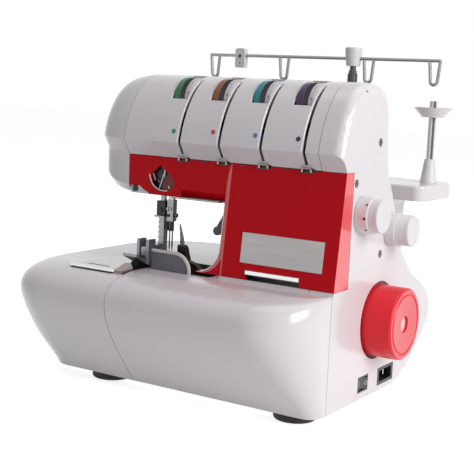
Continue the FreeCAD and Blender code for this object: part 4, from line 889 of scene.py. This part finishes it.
# %% Thread mast
mast_grey = plastic("mast_grey", (0.11, 0.105, 0.11), 0.38, 0.2)
mast_x, mast_y = 61.0, 85.0
tube = drum("mast_ribbed", (mast_x, mast_y, 154), (0, 0, 1), 4.6, 130.0, 32)
pick(tube, "FACE", lambda m, n: abs(n.z) < 0.1 and round(math.atan2(n.y, n.x) / (math.pi / 16) + 0.5) % 2 == 0)
bpy.ops.mesh.inset(thickness=0.08 * mm, depth=-0.35 * mm, use_individual=True)
pick(tube, "FACE", lambda m, n: abs(n.z) > 0.99)
bpy.ops.mesh.inset(thickness=0.7 * mm)
bpy.ops.mesh.bridge_edge_loops()
bpy.ops.object.mode_set(mode="OBJECT")
hand_over(tube, mast_grey, "machine", "steel", "mast_outer_tube")
for name in ("mast_middle_tube", "mast_rod"):
    inner = merged_copy(name, name + "_soft")
    round_edges(inner, 0.2)
    hand_over(inner, mast_grey, "mast_middle" if name == "mast_middle_tube" else "mast_top", "steel", name)
cap = drum("mast_cap", (mast_x, mast_y, 291), (0, 0, 1), 8.0, 12.0, 48)
pick(cap, "FACE", lambda m, n: n.z < -0.9)
bpy.ops.transform.resize(value=(0.82, 0.82, 1))
pick(cap, "FACE", lambda m, n: n.z > 0.9)
bpy.ops.mesh.extrude_region_move(TRANSFORM_OT_translate={"value": (0, 0, 5 * mm)})
bpy.ops.mesh.inset(thickness=1.6 * mm)
bpy.ops.mesh.inset(thickness=0.4 * mm, depth=-0.8 * mm)
bpy.ops.object.mode_set(mode="OBJECT")
round_edges(cap, 0.6)
hand_over(cap, white_knob, "mast_top", "white_small", "mast_collar")
hole = drum("tab_hole", (-62.5, 82.1, 297.5), (0, -1, 0), 1.7, 0.35, 24)
round_edges(hole, 0.1)
hand_over(hole, black_moulding, "mast_top", "black_plastic")
print("mast:", tube.name, cap.name, hole.name)

# %% [markdown]
# The needle clamp is grey steel with two small dark screws and a thumb screw at its right; below it a black block
# steadies the two needles. The block's window is made by bridging its front and back faces after four cuts. A light
# plate closes the presser holder from below.

# %% Needle clamp and presser details
clamp = merged_copy("needle_clamp", "needle_clamp_soft")
round_edges(clamp, 0.6)
hand_over(clamp, clamp_steel, "needle", "chrome", "needle_clamp")
screws = [drum("screw", (-37.8, -63.4, 157.2), (0, -1, 0), 1.25, 0.7, 24),
          drum("screw", (-37.8, -63.4, 152.2), (0, -1, 0), 1.5, 0.8, 24)]
for screw in screws:
    pick(screw, "FACE", lambda m, n: n.y < -0.9)
    bpy.ops.mesh.inset(thickness=0.45 * mm, depth=-0.3 * mm)
    bpy.ops.object.mode_set(mode="OBJECT")
screw = join(screws[0], screws[1:])
screw.name = "clamp_screws"
hand_over(screw, black_moulding, "needle", "dark_screw")
thumb = drum("clamp_thumb_screw", (-33.6, -60, 152.4), (1, 0, 0), 1.1, 1.2, 24)
pick(thumb, "FACE", lambda m, n: n.x > 0.9)
bpy.ops.mesh.extrude_region_move(TRANSFORM_OT_translate={"value": (0.02 * mm, 0, 0)})
bpy.ops.transform.resize(value=(1, 1.7, 1.7))
bpy.ops.mesh.extrude_region_move(TRANSFORM_OT_translate={"value": (1.5 * mm, 0, 0)})
bpy.ops.object.mode_set(mode="OBJECT")
round_edges(thumb, 0.2)
hand_over(thumb, dark_steel, "needle", "dark_screw")
fork = block("needle_fork", (-41.4, -62.2, 138.2), (-35.0, -58.2, 147.2))
(left, right_end), (low, high) = (-40.0, -36.4), (139.8, 146.0)
for x in (left, right_end):
    cut_at(fork, (x, 0, 0), (1, 0, 0))
for z in (low, high):
    cut_at(fork, (0, 0, z), (0, 0, 1))
pick(fork, "FACE", lambda m, n: abs(n.y) > 0.9 and left < m.x < right_end and low < m.z < high)
bpy.ops.mesh.bridge_edge_loops()
bpy.ops.object.mode_set(mode="OBJECT")
round_edges(fork, 0.3)
hand_over(fork, black_moulding, "needle", "black_plastic")
shoe = block("holder_plate", (-52.4, -65.4, 149.8), (-41.6, -54.8, 151.2))
round_edges(shoe, 0.3)
hand_over(shoe, satin_badge, "presser", "steel")
print("clamp details ready")

# %% [markdown]
# The mains inlet has two bright blades in its black cup, and the switch carries the usual line and ring. The blades
# are faces of the inlet itself, found by their place and given a second finish; the two marks are letters laid on
# the rocker's faces.

# %% Inlet blades and switch marks
inlet = bpy.data.objects["power_inlet_soft"]
inlet.data.materials.append(bright_chrome)
paint_faces(inlet, 1, lambda m, n: min(abs(m.y - 23.5), abs(m.y - 33.5)) < 0.95 and abs(m.z - 21.5) < 2.7
            and 123.2 < m.x < 134.6)
letters = []
for words, y in (("I", -21.5), ("O", -12.5)):
    place, normal = surface_at("switch_rocker_soft", (200, y, 22), (-1, 0, 0))
    across = Vector((0, 0, 1)).cross(normal)
    letters.append(laid_text(words, 5.0, place, across, (0, 0, 1)))
letter = join(letters[0], letters[1:])
letter.name = "switch_marks"
hand_over(letter, number_white, "rocker", "white_small")
place, normal = surface_at("right_side_cover_soft", (200, -40.7, 268.4), (-1, 0, 0))
peg = drum("side_peg", place - normal * 0.3, normal, 1.0, 0.6, 20)
round_edges(peg, 0.2)
hand_over(peg, grey_lever, "machine", "dark_screw")
print("inlet, switch and peg ready")

# %% [markdown]
# The bright plate in the left table ends in a rolled front edge over a dark joint. The roll is a block along the
# plate's front whose long edges are rounded until it reads as a rod; the joint is a thin dark strip below it. Beside
# the roll the plate's bare end shows in a warmer tone. Under the foot a painted shadow runs on to the needle plate: a
# flat black field on the table and black faces on the needle plate stand for the shade that the foot casts.

# %% Rolled edge of the cloth plate and the painted shadow under the foot
roll = block("plate_roll", (-101, -120.4, 105.6), (-53.0, -117.4, 108.6))
round_edges(roll, 1.2, 4)
hand_over(roll, bright_chrome, "table", "chrome")
joint = block("plate_joint", (-100.6, -120.8, 104.6), (-53.4, -118.0, 105.5))
round_edges(joint, 0.2)
hand_over(joint, black_moulding, "table", "black_plastic")
bare_end = plate("plate_end", [(-53.0, -119.6, 105.0), (-43.9, -119.4, 105.0), (-43.9, -104.0, 105.0),
                               (-66.0, -80.0, 105.0), (-69.0, -84.0, 105.0)], (0, 0, 3.1))
round_edges(bare_end, 0.25)
hand_over(bare_end, bare_metal, "table", "steel")
# Painted shadow: a thin black field on the table where the presser foot's shade falls.
dark_field = plate("dark_field", [(-44.2, -103.6, 107.4), (-44.2, -57.0, 107.4), (-79.0, -57.0, 107.4),
                                  (-66.2, -79.4, 107.4)], (0, 0, 0.75))
round_edges(dark_field, 0.25)
hand_over(dark_field, painted_shadow_black, "table", "black_plastic")
# Painted shadow continued: the needle plate's faces past a cut are painted black for the same shade.
needle_bed = bpy.data.objects["needle_plate_soft"]
needle_bed.data.materials.append(painted_shadow_black)
painted_shadow_from = -24.0
cut_at(needle_bed, (painted_shadow_from, 0, 0), (1, 0, 0))
paint_faces(needle_bed, 1, lambda m, n: m.x > painted_shadow_from)
print("rolled edge:", [round(d / mm, 1) for d in roll.dimensions])
